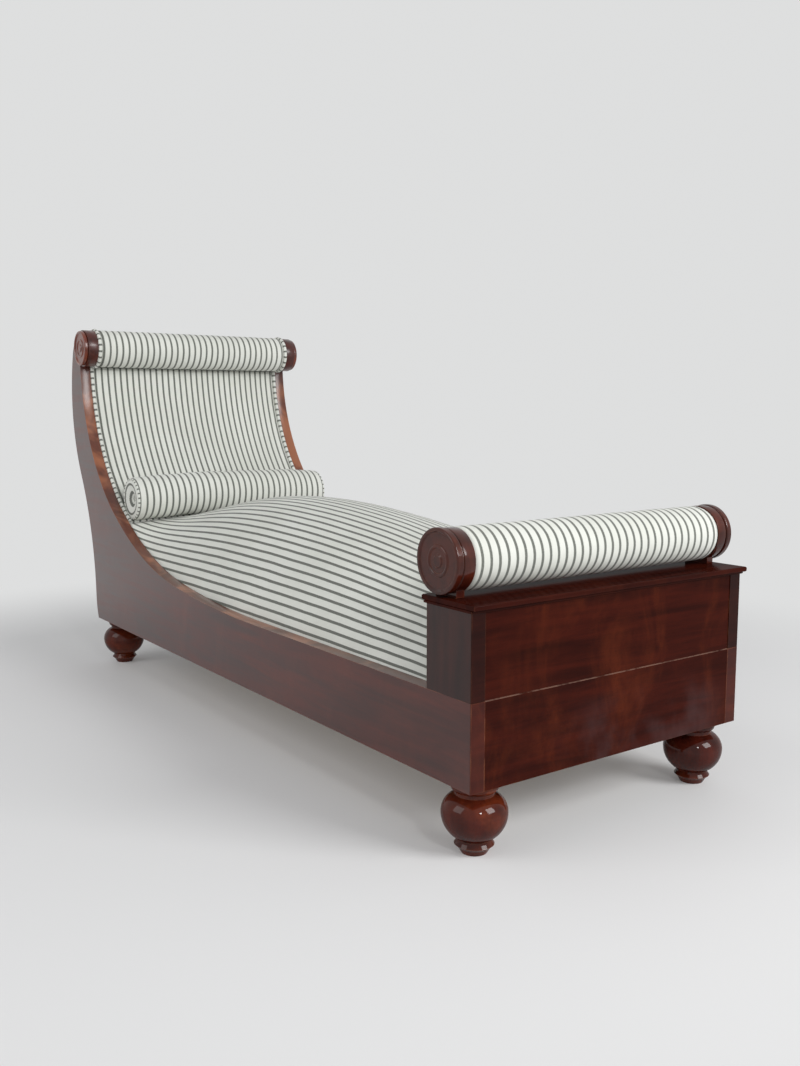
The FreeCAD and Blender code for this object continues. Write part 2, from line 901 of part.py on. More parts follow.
# Ledgers under the seat, corner blocks over the feet and the screws in both
for name, side in SIDES:
    low, high = side_span(side, ledger_face, inner_half)
    strip = Part.makeBox(
        float(ledger_foot - ledger_head),
        float(high - low),
        float(size("ledger_height")),
        Vector(float(ledger_head), float(low), float(ledger_low)),
    )
    solid("seat_ledger_" + name, drilled(strip, side))
    for end, foot_x in FEET:
        x_low, x_high = BLOCKS[end]
        y_low, y_high = side_span(side, inner_half - corner_block, inner_half)
        lump = Part.makeBox(
            float(x_high - x_low),
            float(y_high - y_low),
            float(size("block_height")),
            Vector(float(x_low), float(y_low), float(floor_gap)),
        )
        foot_y = side * float(half_width - size("foot_inset"))
        bore = Part.makeCylinder(
            float(size("spigot_radius") + size("spigot_clearance")),
            float(size("spigot_length") + size("fit_clearance")),
            Vector(float(foot_x), foot_y, float(floor_gap)),
        )
        reach_in = float(corner_block - size("ledger_width"))
        wells = [
            Part.makeCylinder(
                float(size("screw_head_radius") + size("fit_clearance")),
                reach_in,
                Vector(x, side * (float(ledger_face) - reach_in), z),
                Vector(0, side, 0),
            )
            for x, z in screw_places()[-4:]
        ]
        holes = Part.makeCompound([bore] + wells)
        solid("corner_block_%s_%s" % (end, name), drilled(lump.cut(holes), side))

solid("frame_screws", Part.makeCompound(screw_set(-1) + screw_set(1)))

# Feet: turned bulbs on a collar, with a spigot that goes up into the corner block
bulb = size("foot_bulb_radius")
bulb_z = size("foot_bulb_height")
shoulder = size("foot_shoulder_radius")
shoulder_z = size("foot_shoulder_height")
neck = size("foot_neck_radius")
neck_z = size("foot_neck_height")
ring = size("foot_ring_radius")
ring_half = size("foot_ring_height") / 2
ring_z = size("foot_ring_middle")
base = size("foot_base_radius")
collar = size("foot_collar_radius")
collar_low = floor_gap - size("foot_collar_height")
collar_half = size("foot_collar_height") / 2
gorge = size("foot_gorge_radius")


def tangent_radius(across, along):
    """Radius of an arc that starts square to its across offset and ends at both offsets."""
    return (across * across + along * along) / (across * 2)


spigot = size("spigot_radius")
foot_profile = [
    (plain(0), plain(0)),
    (base, plain(0)),
    (base + size("foot_base_flare"), ring_z - ring_half),
    (ring, ring_z),
    (ring - size("foot_ring_step"), ring_z + ring_half),
    (neck, neck_z),
    (bulb, bulb_z),
    (shoulder, shoulder_z),
    (gorge, shoulder_z + size("foot_gorge_step")),
    (gorge, collar_low),
    (collar - collar_half / 2, collar_low),
    (collar, collar_low + collar_half),
    (collar - collar_half / 2, floor_gap),
    (spigot, floor_gap),
    (spigot, floor_gap + size("spigot_length")),
    (plain(0), floor_gap + size("spigot_length")),
]
rim = tangent_radius(collar_half / 2, collar_half)
foot_arcs = {
    5: (tangent_radius(bulb - neck, bulb_z - neck_z), True),
    6: (tangent_radius(bulb - shoulder, shoulder_z - bulb_z), True),
    10: (rim, True),
    11: (rim, True),
}
for end, foot_x in FEET:
    for name, side in SIDES:
        foot_y = (half_width - size("foot_inset")) * side
        turned("foot_%s_%s" % (end, name), foot_profile, foot_arcs, (foot_x, foot_y, plain(0)))

# Drop-in seat: frame, webbing, hessian and domed pad
seat_foot = foot_inner - size("seat_foot_gap")
crease_turn = math.radians(float(crease_angle))
crease_x = plain(back_centre.x - pad_face * math.cos(crease_turn))
seat_head = crease_x + size("seat_head_gap") + size("seat_pad_overhang")
seat_length = seat_foot - seat_head
seat_side = inner_half - size("seat_side_clearance")
seat_inner = seat_side - size("seat_rail_width")
frame_top = ledger_top + size("seat_rail_height")
frame_span = (ledger_top, frame_top)
for name, side in SIDES:
    span = side_span(side, seat_inner, seat_side)
    keep(box((seat_head, seat_foot), span, frame_span), "seat_rail_" + name)
between = (-seat_inner, seat_inner)
foot_span = (seat_foot - size("seat_rail_width"), seat_foot)
head_span = (seat_head, seat_head + size("seat_rail_width"))
keep(box(foot_span, between, frame_span), "seat_rail_foot")
keep(box(head_span, between, frame_span), "seat_rail_head")
bar_half = size("seat_bar_width") / 2
bar_span = (ledger_top, ledger_top + size("seat_bar_height"))
for number, share in (("foot", 1 / 3), ("head", 2 / 3)):
    middle = seat_foot - seat_length * share
    keep(box((middle - bar_half, middle + bar_half), between, bar_span), "seat_bar_" + number)

lower_web = float(frame_top + size("fit_clearance"))
upper_web = lower_web + float(size("webbing_thickness") + size("fit_clearance"))
web = float(size("webbing_thickness"))
seat_straps = []
for middle in rows(int(float(size("seat_strap_count_along"))), -seat_side, seat_side):
    corner = Vector(float(seat_head), middle - half_strap, lower_web)
    seat_straps.append(Part.makeBox(float(seat_length), half_strap * 2, web, corner))
for middle in rows(int(float(size("seat_strap_count_across"))), seat_head, seat_foot):
    corner = Vector(middle - half_strap, -float(seat_side), upper_web)
    seat_straps.append(Part.makeBox(half_strap * 2, float(seat_side) * 2, web, corner))
solid("seat_webbing", Part.makeCompound(seat_straps))

straps_high = size("webbing_thickness") * 2 + size("fit_clearance") * 3
hessian_low = frame_top + straps_high
hessian_top = hessian_low + size("hessian_thickness")
keep(
    box((seat_head, seat_foot), (-seat_side, seat_side), (hessian_low, hessian_top)),
    "seat_hessian",
)


def front_height(x):
    """Height of the panels' front edge over a place along the seat."""
    if x >= float(sweep_x):
        return float(rail_top)
    path = Path(sweep_x, rail_top, 180)
    sweeps = [(name, float(size(name + "_angle"))) for name in ("rail_sweep", "seat_sweep")]
    for name, turn in sweeps:
        radius = float(size(name + "_radius"))
        centre = path.centre(radius, -1)
        path.arc(radius, -turn)
        if x >= path.x:
            return centre.z - math.sqrt(radius ** 2 - (x - centre.x) ** 2)
    return back_centre.z - math.sqrt(back_radius ** 2 - (x - back_centre.x) ** 2)


summit_x = float(heel_face + size("seat_crest_reach"))
summit_z = float(floor_gap + size("seat_crest_height"))
end_round = float(size("seat_end_round"))
end_z = float(floor_gap + size("seat_end_height"))
pad_foot = float(seat_foot)
pad_head = float(seat_head - size("seat_pad_overhang"))
pad_base = float(hessian_top + size("fit_clearance"))


def crest_height(x):
    """Height of the seat's middle line: two arcs that meet at the summit, rounded at the foot."""
    key = "seat_crest_foot_radius" if x > summit_x else "seat_crest_head_radius"
    radius = float(size(key))
    height = summit_z - radius + math.sqrt(radius ** 2 - (x - summit_x) ** 2)
    if x > pad_foot - end_round:
        share = (x - (pad_foot - end_round)) / end_round
        height = end_z + (height - end_z) * math.sqrt(max(1 - share ** 2, 0))
    return height


def pad_section(x, low):
    """Cross section of the seat pad: flat below, upright sides, one arc over the top."""
    width = float(pad_side)
    crest_z = crest_height(x)
    edge_z = min(front_height(x) - float(size("seat_edge_drop")), crest_z - 5)
    corners = [Vector(x, -width, low), Vector(x, width, low)]
    edges = [
        Part.makeLine(corners[0], corners[1]),
        Part.makeLine(corners[1], Vector(x, width, edge_z)),
        Part.Arc(
            Vector(x, width, edge_z), Vector(x, 0, crest_z), Vector(x, -width, edge_z)
        ).toShape(),
        Part.makeLine(Vector(x, -width, edge_z), corners[0]),
    ]
    return Part.Wire(edges)


body_head = float(seat_head)
stations = [pad_foot - end_round * share for share in (0, 0.08, 0.25, 0.55, 1)]
long_run = pad_foot - end_round - body_head
stations += [pad_foot - end_round - long_run * share / 8 for share in range(1, 9)]
stations.append(pad_head)
dome = Part.makeLoft([pad_section(x, pad_base) for x in stations], True, False)
lip = crest_height(pad_head) - float(size("seat_pad_lip"))
under_lip = Part.makeBox(
    float(size("seat_pad_overhang")) * 2,
    float(size("body_width")),
    lip - float(floor_gap),
    Vector(body_head - float(size("seat_pad_overhang")) * 2, -float(half_width), float(floor_gap)),
)
solid("seat_pad", dome.cut(under_lip))

# Loose bolster that rests on the seat and against the back
seat_radius = float(size("seat_crest_head_radius"))
seat_centre = Vector(summit_x, 0, summit_z - seat_radius)
stand_off = float(size("bolster_radius") + size("rest_gap"))
bolster_axis = meeting(
    back_centre, pad_face - stand_off, seat_centre, seat_radius + stand_off
)
bolster_radius = size("bolster_radius")
bolster_length = (inner_half - size("bolster_end_gap")) * 2
dimple = size("bolster_dimple")
corner_round = size("bolster_corner")
flat = bolster_radius - corner_round
bolster_profile = [
    (plain(0), dimple),
    (flat, plain(0)),
    (bolster_radius, corner_round),
    (bolster_radius, bolster_length - corner_round),
    (flat, bolster_length),
    (plain(0), bolster_length - dimple),
]
dish = tangent_radius(dimple, flat)
bolster_arcs = {
    0: (dish, False),
    1: (corner_round, True),
    3: (corner_round, True),
    4: (dish, False),
}
turned(
    "bolster",
    bolster_profile,
    bolster_arcs,
    (plain(bolster_axis.x), -(bolster_length / 2), plain(bolster_axis.z)),
    Vector(0, 1, 0),
)

# Check every object, then write one file per sub-part
doc.recompute()
for thing in doc.Objects:
    if "Invalid" in thing.State or "Error" in thing.State:
        raise RuntimeError("%s failed: %s" % (thing.Label, thing.State))
for node in NODES:
    if node.Shape.isNull() or not node.Shape.isValid():
        raise RuntimeError("%s has no valid shape" % node.Label)
for node in NODES:
    node.Shape.exportStep("parts/%s.step" % node.Label)
    print("%-26s %10.0f mm3  solids %d" % (node.Label, node.Shape.Volume, len(node.Shape.Solids)))
whole = Part.makeCompound([node.Shape for node in NODES]).BoundBox
print(len(NODES), "sub-parts,", whole)
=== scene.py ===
# %% [markdown]
# # A recamier: polished mahogany and striped ticking
# A recamier is a day bed with one high scrolled end and one low end. This lesson dresses its
# construction model: the timber keeps its own shape and gets a polish, and every soft part gets
# a cover of its own. All lengths are in metres, +X is the low foot end and +Z is up.

# %% Load the construction frame
import bmesh
import bpy
import math
from mathutils import Matrix, Vector, noise
from mathutils.bvhtree import BVHTree


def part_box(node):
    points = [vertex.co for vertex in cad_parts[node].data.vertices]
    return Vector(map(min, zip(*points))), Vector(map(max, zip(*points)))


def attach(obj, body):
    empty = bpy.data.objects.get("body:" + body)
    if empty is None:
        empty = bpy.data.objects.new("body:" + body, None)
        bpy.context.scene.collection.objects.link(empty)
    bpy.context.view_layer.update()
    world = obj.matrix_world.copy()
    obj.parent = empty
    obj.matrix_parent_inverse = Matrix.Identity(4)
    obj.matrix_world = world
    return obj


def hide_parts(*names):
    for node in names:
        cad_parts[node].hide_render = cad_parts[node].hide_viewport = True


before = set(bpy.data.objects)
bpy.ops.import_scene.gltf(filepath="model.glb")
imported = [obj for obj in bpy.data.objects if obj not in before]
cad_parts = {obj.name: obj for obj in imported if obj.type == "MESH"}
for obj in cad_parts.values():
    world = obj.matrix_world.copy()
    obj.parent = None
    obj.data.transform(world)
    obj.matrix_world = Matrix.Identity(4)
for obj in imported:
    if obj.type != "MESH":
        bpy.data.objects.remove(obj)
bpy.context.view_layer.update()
scene = bpy.context.scene
scene.view_settings.view_transform = "Standard"

# %% [markdown]
# ## Places to work from
# Everything that is made here sits on the frame, so the places are read from the frame's own
# boxes. Only the sweep of the back is typed in: it is one arc about a level line across the
# bed, and a box doesn't say where the middle of an arc is.

# %% Read places from boxes, and the sweep of the back
MM = 0.001


def span(node_name):
    """Lowest corner, highest corner and middle of a frame node."""
    low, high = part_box(node_name)
    return low, high, (low + high) / 2


back_centre = Vector((-353.4, 0, 918.9)) * MM
back_radius = 542.4 * MM

# %% [markdown]
# ## Wiring materials
# A procedural material is a small net of nodes. One helper adds a node, sets its properties and
# links or fills its sockets, so that each finish below reads as a short recipe.

# %% Helpers for shader nodes


def wire(tree, kind, sockets=None, **properties):
    """Add one shader node; a socket is given a value or another node's output."""
    made = tree.nodes.new("ShaderNode" + kind)
    for name, value in properties.items():
        setattr(made, name, value)
    for key, value in (sockets or {}).items():
        if isinstance(value, bpy.types.NodeSocket):
            tree.links.new(value, made.inputs[key])
        else:
            made.inputs[key].default_value = value
    return made


def maths(tree, operation, first, second=0.0, third=0.0):
    """The result of one Math node."""
    sockets = {0: first, 1: second, 2: third}
    return wire(tree, "Math", sockets, operation=operation).outputs[0]


def spread(tree, value, low, high):
    """Value stretched so that low gives 0 and high gives 1, with soft ends."""
    sockets = {"Value": value, "From Min": low, "From Max": high}
    return wire(tree, "MapRange", sockets, interpolation_type="SMOOTHSTEP").outputs[0]


def mixed(tree, factor, first, second, blend="MIX"):
    """Two colours mixed by a factor."""
    made = tree.nodes.new("ShaderNodeMix")
    made.data_type = "RGBA"
    made.blend_type = blend
    for key, value in ((0, factor), (6, first), (7, second)):
        if isinstance(value, bpy.types.NodeSocket):
            tree.links.new(value, made.inputs[key])
        else:
            made.inputs[key].default_value = value
    return made.outputs[2]


def mottle(tree, place, scale, detail=4.0, roughness=0.55, distortion=0.0):
    """A noise value from 0 to 1."""
    sockets = {
        "Vector": place,
        "Scale": scale,
        "Detail": detail,
        "Roughness": roughness,
        "Distortion": distortion,
    }
    return wire(tree, "TexNoise", sockets).outputs["Fac"]


def blank_finish(name):
    """A new material with its node tree and its shader."""
    material = bpy.data.materials.new(name)
    material.use_nodes = True
    return material, material.node_tree, material.node_tree.nodes["Principled BSDF"]


def colour(red, green, blue):
    return (red, green, blue, 1.0)


# %% [markdown]
# ## Mahogany under French polish
# The show wood is dark red mahogany. Three things make it: long streaks along the board, a
# cloudy cross figure that glows orange where the grain turns towards the eye, and tiny dark
# pores. Shellac lies on it as a clear coat, so the base stays rather dull and the coat shines.
# Corners are rubbed lighter by use: a Bevel node tells where the surface turns a corner.

# %% The grain of a mahogany board
FOOT_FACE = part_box("foot_rail_lower")[1].x
SEAM_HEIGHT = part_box("foot_rail_lower")[1].z
DEEP_RED = colour(0.020, 0.0032, 0.0020)
WARM_RED = colour(0.058, 0.0082, 0.0040)
GLOWING = colour(0.175, 0.0340, 0.0100)
PAINTED_REFLECTION = colour(0.085, 0.0480, 0.0480)
PAINTED_HIGHLIGHT = colour(0.300, 0.1800, 0.1400)
PALE_ORANGE = colour(0.240, 0.0850, 0.0380)
SCROLL_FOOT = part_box("head_roundel_right")[0].z


def grain_of(tree, place, grain, glow):
    """Colour of a board whose grain runs along X, Y or Z, and the streaks in it."""
    along = "XYZ".index(grain)
    long_scale = [1.0 if axis == along else 11.0 for axis in range(3)]
    cross_scale = [1.9 if axis == along else 1.0 for axis in range(3)]
    pore_scale = [6.0 if axis == along else 90.0 for axis in range(3)]
    drawn = wire(tree, "Mapping", {"Vector": place, "Scale": long_scale}).outputs[0]
    crossed = wire(tree, "Mapping", {"Vector": place, "Scale": cross_scale}).outputs[0]
    fine = wire(tree, "Mapping", {"Vector": place, "Scale": pore_scale}).outputs[0]
    streak = mottle(tree, drawn, 4.0, 5.0, 0.55, 0.5)
    cloud = mottle(tree, crossed, 4.5, 4.0, 0.60, 0.9)
    shimmer = mottle(tree, crossed, 22.0, 3.0, 0.5, 0.4)
    pore = mottle(tree, fine, 9.0, 2.0, 0.5)
    body = mixed(tree, spread(tree, streak, 0.18, 0.82), DEEP_RED, WARM_RED)
    figure = maths(tree, "MULTIPLY", spread(tree, cloud, 0.40, 0.80), glow)
    figure = maths(tree, "MULTIPLY", figure, spread(tree, shimmer, 0.05, 0.75))
    body = mixed(tree, figure, body, GLOWING)
    pores = maths(tree, "MULTIPLY", spread(tree, pore, 0.60, 0.72), 0.35)
    return mixed(tree, pores, body, DEEP_RED), streak


# %% [markdown]
# ## Polish, edges and wear
# The long sides have an old, milky polish that mirrors the pale room, and the foot end a deeper
# one, so the coat's weight changes where a side board ends in the foot's face. The edges of the
# side boards below the scroll are mixed towards orange. The foot's lower rail has a painted
# highlight, a pale line along its upper corner where the panel above stands back, and low down a
# painted reflection, a milky purple-grey patch in place of the floor mirrored in its polish.

# %% Mahogany finishes for the boards and turnings
FACE_GLOW = 0.45
FACE_COAT = 0.12
EASED_CORNER = 3 * MM


def level_with(tree, value, place, reach):
    """One where a value lies within reach of a place, and zero beyond it."""
    away = maths(tree, "ABSOLUTE", maths(tree, "SUBTRACT", value, place))
    return spread(tree, away, reach, reach * 0.5)


def mahogany(name, grain, glow, haze, coat, shine, lift, board_end=False, seam=False):
    """Polished mahogany.

    The grain runs along X, Y or Z, glow is the strength of the figure, haze and coat are the
    coat's roughness and weight, shine is the wood's own, and lift makes the wood lighter.
    board_end is for boards that end in the foot's face, seam for the foot's lower rail, where it
    adds a painted highlight line and a painted reflection.
    """
    material, tree, shader = blank_finish(name)
    place = wire(tree, "TexCoord").outputs["Object"]
    parts = wire(tree, "SeparateXYZ", {0: place})
    body, streak = grain_of(tree, place, grain, glow)
    straight = wire(tree, "NewGeometry").outputs["Normal"]
    rounded = wire(tree, "Bevel", {"Radius": EASED_CORNER}, samples=6).outputs[0]
    sockets = {0: rounded, 1: straight}
    alike = wire(tree, "VectorMath", sockets, operation="DOT_PRODUCT").outputs["Value"]
    wear_and_highlight_noise = mottle(tree, place, 30.0, 4.0, 0.6)
    if board_end:
        at_face = spread(tree, parts.outputs[0], FOOT_FACE - 3 * MM, FOOT_FACE - 1 * MM)
        face_body = grain_of(tree, place, "Y", FACE_GLOW)[0]
        facing = maths(tree, "ABSOLUTE", wire(tree, "SeparateXYZ", {0: straight}).outputs[1])
        # The side boards' edges, the faces that turn neither way across the bed, are mixed
        # towards orange below the scroll.
        edge_orange = mottle(tree, place, 7.0, 3.0, 0.6, 0.6)
        edge_orange = maths(tree, "MULTIPLY_ADD", spread(tree, edge_orange, 0.42, 0.60), 0.65, 0.15)
        edge_orange = maths(tree, "MULTIPLY", edge_orange, spread(tree, facing, 0.8, 0.3))
        below_scroll = spread(tree, parts.outputs[2], SCROLL_FOOT, SCROLL_FOOT - 60 * MM)
        edge_orange = maths(tree, "MULTIPLY", edge_orange, below_scroll)
        body = mixed(tree, edge_orange, body, PALE_ORANGE)
        face_body = mixed(tree, 0.35, face_body, DEEP_RED)
        body = mixed(tree, at_face, body, face_body)
        weight = maths(tree, "MULTIPLY_ADD", at_face, FACE_COAT - coat, coat)
        tree.links.new(weight, shader.inputs["Coat Weight"])
    worn = maths(tree, "MULTIPLY", spread(tree, alike, 0.995, 0.88), spread(tree, wear_and_highlight_noise, 0.35, 0.7))
    body = mixed(tree, maths(tree, "MULTIPLY", worn, 0.45), body, PALE_ORANGE)
    if seam:
        # Painted reflection: a milky purple-grey patch low on the rail, near the middle, stands
        # in for the floor mirrored in the polish.
        low_down = spread(tree, parts.outputs[2], SEAM_HEIGHT - 20 * MM, SEAM_HEIGHT - 110 * MM)
        beside = level_with(tree, parts.outputs[1], 80 * MM, 260 * MM)
        clouds = spread(tree, mottle(tree, place, 6.0), 0.36, 0.60)
        reflection_patch = maths(tree, "MULTIPLY", low_down, clouds)
        reflection_patch = maths(tree, "MULTIPLY", reflection_patch, beside)
        body = mixed(tree, maths(tree, "MULTIPLY", reflection_patch, 0.5), body, PAINTED_REFLECTION)
        # Painted highlight: a pale line along the rail's upper corner, where the panel above
        # stands back, broken up by the same noise as the worn corners.
        line = level_with(tree, parts.outputs[2], SEAM_HEIGHT, 1.0 * MM)
        line = maths(tree, "MULTIPLY", line, spread(tree, wear_and_highlight_noise, 0.30, 0.55))
        body = mixed(tree, maths(tree, "MULTIPLY", line, 0.6), body, PAINTED_HIGHLIGHT)
    lifted = wire(tree, "CombineColor", {0: lift, 1: lift, 2: lift}).outputs[0]
    body = mixed(tree, 1.0, body, lifted, "MULTIPLY")
    tree.links.new(body, shader.inputs["Base Color"])
    dull = maths(tree, "MULTIPLY_ADD", spread(tree, streak, 0.2, 0.8), 0.14, 0.30)
    tree.links.new(dull, shader.inputs["Roughness"])
    ripple = mottle(tree, place, 13.0, 2.0, 0.5)
    bump = wire(tree, "Bump", {"Height": ripple, "Strength": 0.10, "Distance": 0.0025})
    tree.links.new(bump.outputs[0], shader.inputs["Normal"])
    shader.inputs["Coat Weight"].default_value = coat
    shader.inputs["Coat Roughness"].default_value = haze
    shader.inputs["Coat IOR"].default_value = 1.5
    shader.inputs["Specular IOR Level"].default_value = shine
    return material


side_mahogany = mahogany(
    "mahogany_side_boards", "X", 0.10, 0.24, 0.86, 0.10, 1.45, board_end=True
)
post_mahogany = mahogany(
    "mahogany_posts", "Z", 0.10, 0.24, 0.70, 0.05, 0.6, board_end=True
)
face_mahogany = mahogany(
    "mahogany_foot_face", "Y", FACE_GLOW, 0.10, FACE_COAT, 0.0, 0.85, seam=True
)
cap_mahogany = mahogany("mahogany_cap", "Y", 0.2, 0.16, 0.14, 0.0, 0.75)
turned_mahogany = mahogany("mahogany_turnings", "Z", 0.9, 0.05, 0.5, 0.0, 1.25)
# A lighter, glossier copy of the roundel mahogany for the head roundels.
head_roundel_mahogany = mahogany("mahogany_head_roundels", "Y", 0.8, 0.22, 0.9, 0.15, 1.9)
roll_end_mahogany = mahogany("mahogany_roundels", "Y", 0.6, 0.09, 0.65, 0.05, 1.0)
print("finishes so far:", sorted(material.name for material in bpy.data.materials))

# %% [markdown]
# ## Striped ticking
# The cover is a tight cotton ticking: off-white, with a dark grey-green stripe every 19.5 mm.
# Painting the stripes from object coordinates would cut straight through a cushion, so each
# piece carries a UV map in metres: U runs across the stripes and V along them. The stripe's
# edge wavers by a thread, and two fine waves give the weave its relief.

# %% Ticking from the piece's own UV map
STRIPE_PITCH = 19.5 * MM
STRIPE_WIDTH = 6.0 * MM
PIPING_PITCH = 13 * MM
PIPING_WIDTH = 4 * MM
THREAD_PITCH = 1.1 * MM
SOILED = colour(0.70, 0.71, 0.65)
CLEAN = colour(0.79, 0.80, 0.75)
DARK_YARN = colour(0.105, 0.112, 0.096)
WORN_YARN = colour(0.19, 0.20, 0.175)


def ticking(name, pitch, width):
    """Off-white cotton with a dark woven stripe."""
    material, tree, shader = blank_finish(name)
    cloth = wire(tree, "UVMap", uv_map="cloth").outputs[0]
    parts = wire(tree, "SeparateXYZ", {0: cloth})
    across, along = parts.outputs[0], parts.outputs[1]
    slow = mottle(tree, cloth, 9.0, 2.0, 0.5)
    quick_waver = mottle(tree, cloth, 420.0, 2.0, 0.6)
    waver = maths(tree, "MULTIPLY_ADD", slow, 2.4 * MM, -1.2 * MM)
    waver = maths(tree, "MULTIPLY_ADD", quick_waver, 1.1 * MM, waver)
    moved = maths(tree, "ADD", across, waver)
    from_gap = maths(tree, "PINGPONG", moved, pitch / 2)
    edge = (pitch - width) / 2
    stripe = spread(tree, from_gap, edge - 0.5 * MM, edge + 0.5 * MM)
    turn = 2 * math.pi / THREAD_PITCH
    warp = maths(tree, "SINE", maths(tree, "MULTIPLY", across, turn))
    weft = maths(tree, "SINE", maths(tree, "MULTIPLY", along, turn))
    weave = maths(tree, "MULTIPLY", warp, weft)
    soil = mottle(tree, cloth, 5.0, 4.0, 0.6)
    pale = mixed(tree, spread(tree, soil, 0.2, 0.8), SOILED, CLEAN)
    tone = mixed(tree, spread(tree, quick_waver, 0.3, 0.8), DARK_YARN, WORN_YARN)
    body = mixed(tree, maths(tree, "MULTIPLY", stripe, 0.95), pale, tone)
    shade = maths(tree, "MULTIPLY_ADD", weave, 0.06, 0.94)
    shade = wire(tree, "CombineColor", {0: shade, 1: shade, 2: shade}).outputs[0]
    body = mixed(tree, 1.0, body, shade, "MULTIPLY")
    tree.links.new(body, shader.inputs["Base Color"])
    bump = wire(tree, "Bump", {"Height": weave, "Strength": 0.25, "Distance": 0.0003})
    tree.links.new(bump.outputs[0], shader.inputs["Normal"])
    shader.inputs["Roughness"].default_value = 0.88
    shader.inputs["Specular IOR Level"].default_value = 0.2
    shader.inputs["Sheen Weight"].default_value = 0.12
    shader.inputs["Sheen Roughness"].default_value = 0.5
    return material


striped = ticking("striped_ticking", STRIPE_PITCH, STRIPE_WIDTH)
piping_cloth = ticking("striped_piping", PIPING_PITCH, PIPING_WIDTH)
print("striped cloth: %s, %s" % (striped.name, piping_cloth.name))

# %% [markdown]
# ## Hidden materials
# What shows only from below or behind still gets its own finish: pale sawn deal for the seat
# frame and blocks, brown jute webbing, a coarse hessian and bright steel screws.

# %% Deal, jute, hessian and screw steel


def sawn_deal(name, grain):
    """Plain softwood with saw marks, grain along one axis."""
    material, tree, shader = blank_finish(name)
    place = wire(tree, "TexCoord").outputs["Object"]
    along = "XYZ".index(grain)
    scale = [1.0 if axis == along else 16.0 for axis in range(3)]
    drawn = wire(tree, "Mapping", {"Vector": place, "Scale": scale}).outputs[0]
    rings = mottle(tree, drawn, 6.0, 5.0, 0.55, 0.8)
    dark, pale = colour(0.40, 0.25, 0.13), colour(0.62, 0.44, 0.26)
    body = mixed(tree, spread(tree, rings, 0.3, 0.7), dark, pale)
    tree.links.new(body, shader.inputs["Base Color"])
    bump = wire(tree, "Bump", {"Height": rings, "Strength": 0.2, "Distance": 0.001})
    tree.links.new(bump.outputs[0], shader.inputs["Normal"])
    shader.inputs["Roughness"].default_value = 0.75
    return material


def coarse_weave(name, thread, dark, light):
    """A plain weave of thick threads seen in the XY plane and up the Z axis."""
    material, tree, shader = blank_finish(name)
    place = wire(tree, "TexCoord").outputs["Object"]
    parts = wire(tree, "SeparateXYZ", {0: place})
    turn = 2 * math.pi / thread
    lengthwise = maths(tree, "ADD", parts.outputs[0], parts.outputs[2])
    warp = maths(tree, "SINE", maths(tree, "MULTIPLY", lengthwise, turn))
    weft = maths(tree, "SINE", maths(tree, "MULTIPLY", parts.outputs[1], turn))
    weave = maths(tree, "MULTIPLY", warp, weft)
    slub = mottle(tree, place, 60.0, 4.0, 0.6)
    fill = maths(tree, "MULTIPLY_ADD", weave, 0.25, slub)
    body = mixed(tree, spread(tree, fill, 0.2, 0.9), dark, light)
    tree.links.new(body, shader.inputs["Base Color"])
    bump = wire(tree, "Bump", {"Height": weave, "Strength": 0.5, "Distance": 0.0006})
    tree.links.new(bump.outputs[0], shader.inputs["Normal"])
    shader.inputs["Roughness"].default_value = 0.95
    return material


def brushed_screw():
    """Dull steel with a fine turned scratch."""
    material, tree, shader = blank_finish("steel_screws")
    place = wire(tree, "TexCoord").outputs["Object"]
    scratch = mottle(tree, place, 900.0, 2.0, 0.6)
    body = mixed(tree, scratch, colour(0.35, 0.35, 0.36), colour(0.62, 0.62, 0.63))
    tree.links.new(body, shader.inputs["Base Color"])
    tree.links.new(maths(tree, "MULTIPLY_ADD", scratch, 0.3, 0.25), shader.inputs["Roughness"])
    shader.inputs["Metallic"].default_value = 1.0
    return material


deal_long = sawn_deal("deal_lengthwise", "X")
deal_cross = sawn_deal("deal_crosswise", "Y")
jute = coarse_weave("jute_webbing", 3.2 * MM, colour(0.20, 0.13, 0.06), colour(0.50, 0.38, 0.22))
hessian = coarse_weave("hessian", 1.8 * MM, colour(0.28, 0.20, 0.10), colour(0.60, 0.48, 0.30))
screw_steel = brushed_screw()
print("finishes in all:", len(bpy.data.materials))

# %% [markdown]
# ## Dress the timber
# The timber nodes have the right shape already, so they keep it and only get a finish and a
# softened arris. Their meshes are loose triangles: a Weld modifier joins them first, and a
# Bevel modifier then rounds what is sharper than an ordinary curve.

# %% Give each timber node its finish and its rounded edges
TIMBER = {
    "side_panel": (side_mahogany, 1.2),
    "foot_cheek": (post_mahogany, 0.6),
    "foot_rail_lower": (face_mahogany, 0.25),
    "foot_panel_upper": (face_mahogany, 0.4),
    "foot_inner_board": (face_mahogany, 0.8),
    "foot_cap": (cap_mahogany, 0),
    "foot_cap_moulding": (cap_mahogany, 0),
    "foot_roundel": (roll_end_mahogany, 0),
    "head_roundel": (head_roundel_mahogany, 0),
    "foot_roll_collar": (roll_end_mahogany, 0.6),
    "foot_roll_block": (roll_end_mahogany, 0.8),
    "head_bottom_rail": (face_mahogany, 1.0),
    "foot_foot": (turned_mahogany, 0),
    "foot_head": (turned_mahogany, 0),
    "foot_roll_core": (deal_cross, 0),
    "head_roll_core": (deal_cross, 0),
    "back_top_rail": (deal_cross, 1.5),
    "back_middle_rail": (deal_cross, 1.5),
    "back_lower_rail": (deal_cross, 1.5),
    "seat_ledger": (deal_long, 1.0),
    "seat_rail": (deal_long, 1.5),
    "seat_rail_foot": (deal_cross, 1.5),
    "seat_rail_head": (deal_cross, 1.5),
    "seat_bar": (deal_cross, 1.5),
    "corner_block": (deal_cross, 1.0),
    "back_webbing": (jute, 0),
    "seat_webbing": (jute, 0),
    "seat_hessian": (hessian, 0),
    "frame_screws": (screw_steel, 0),
}


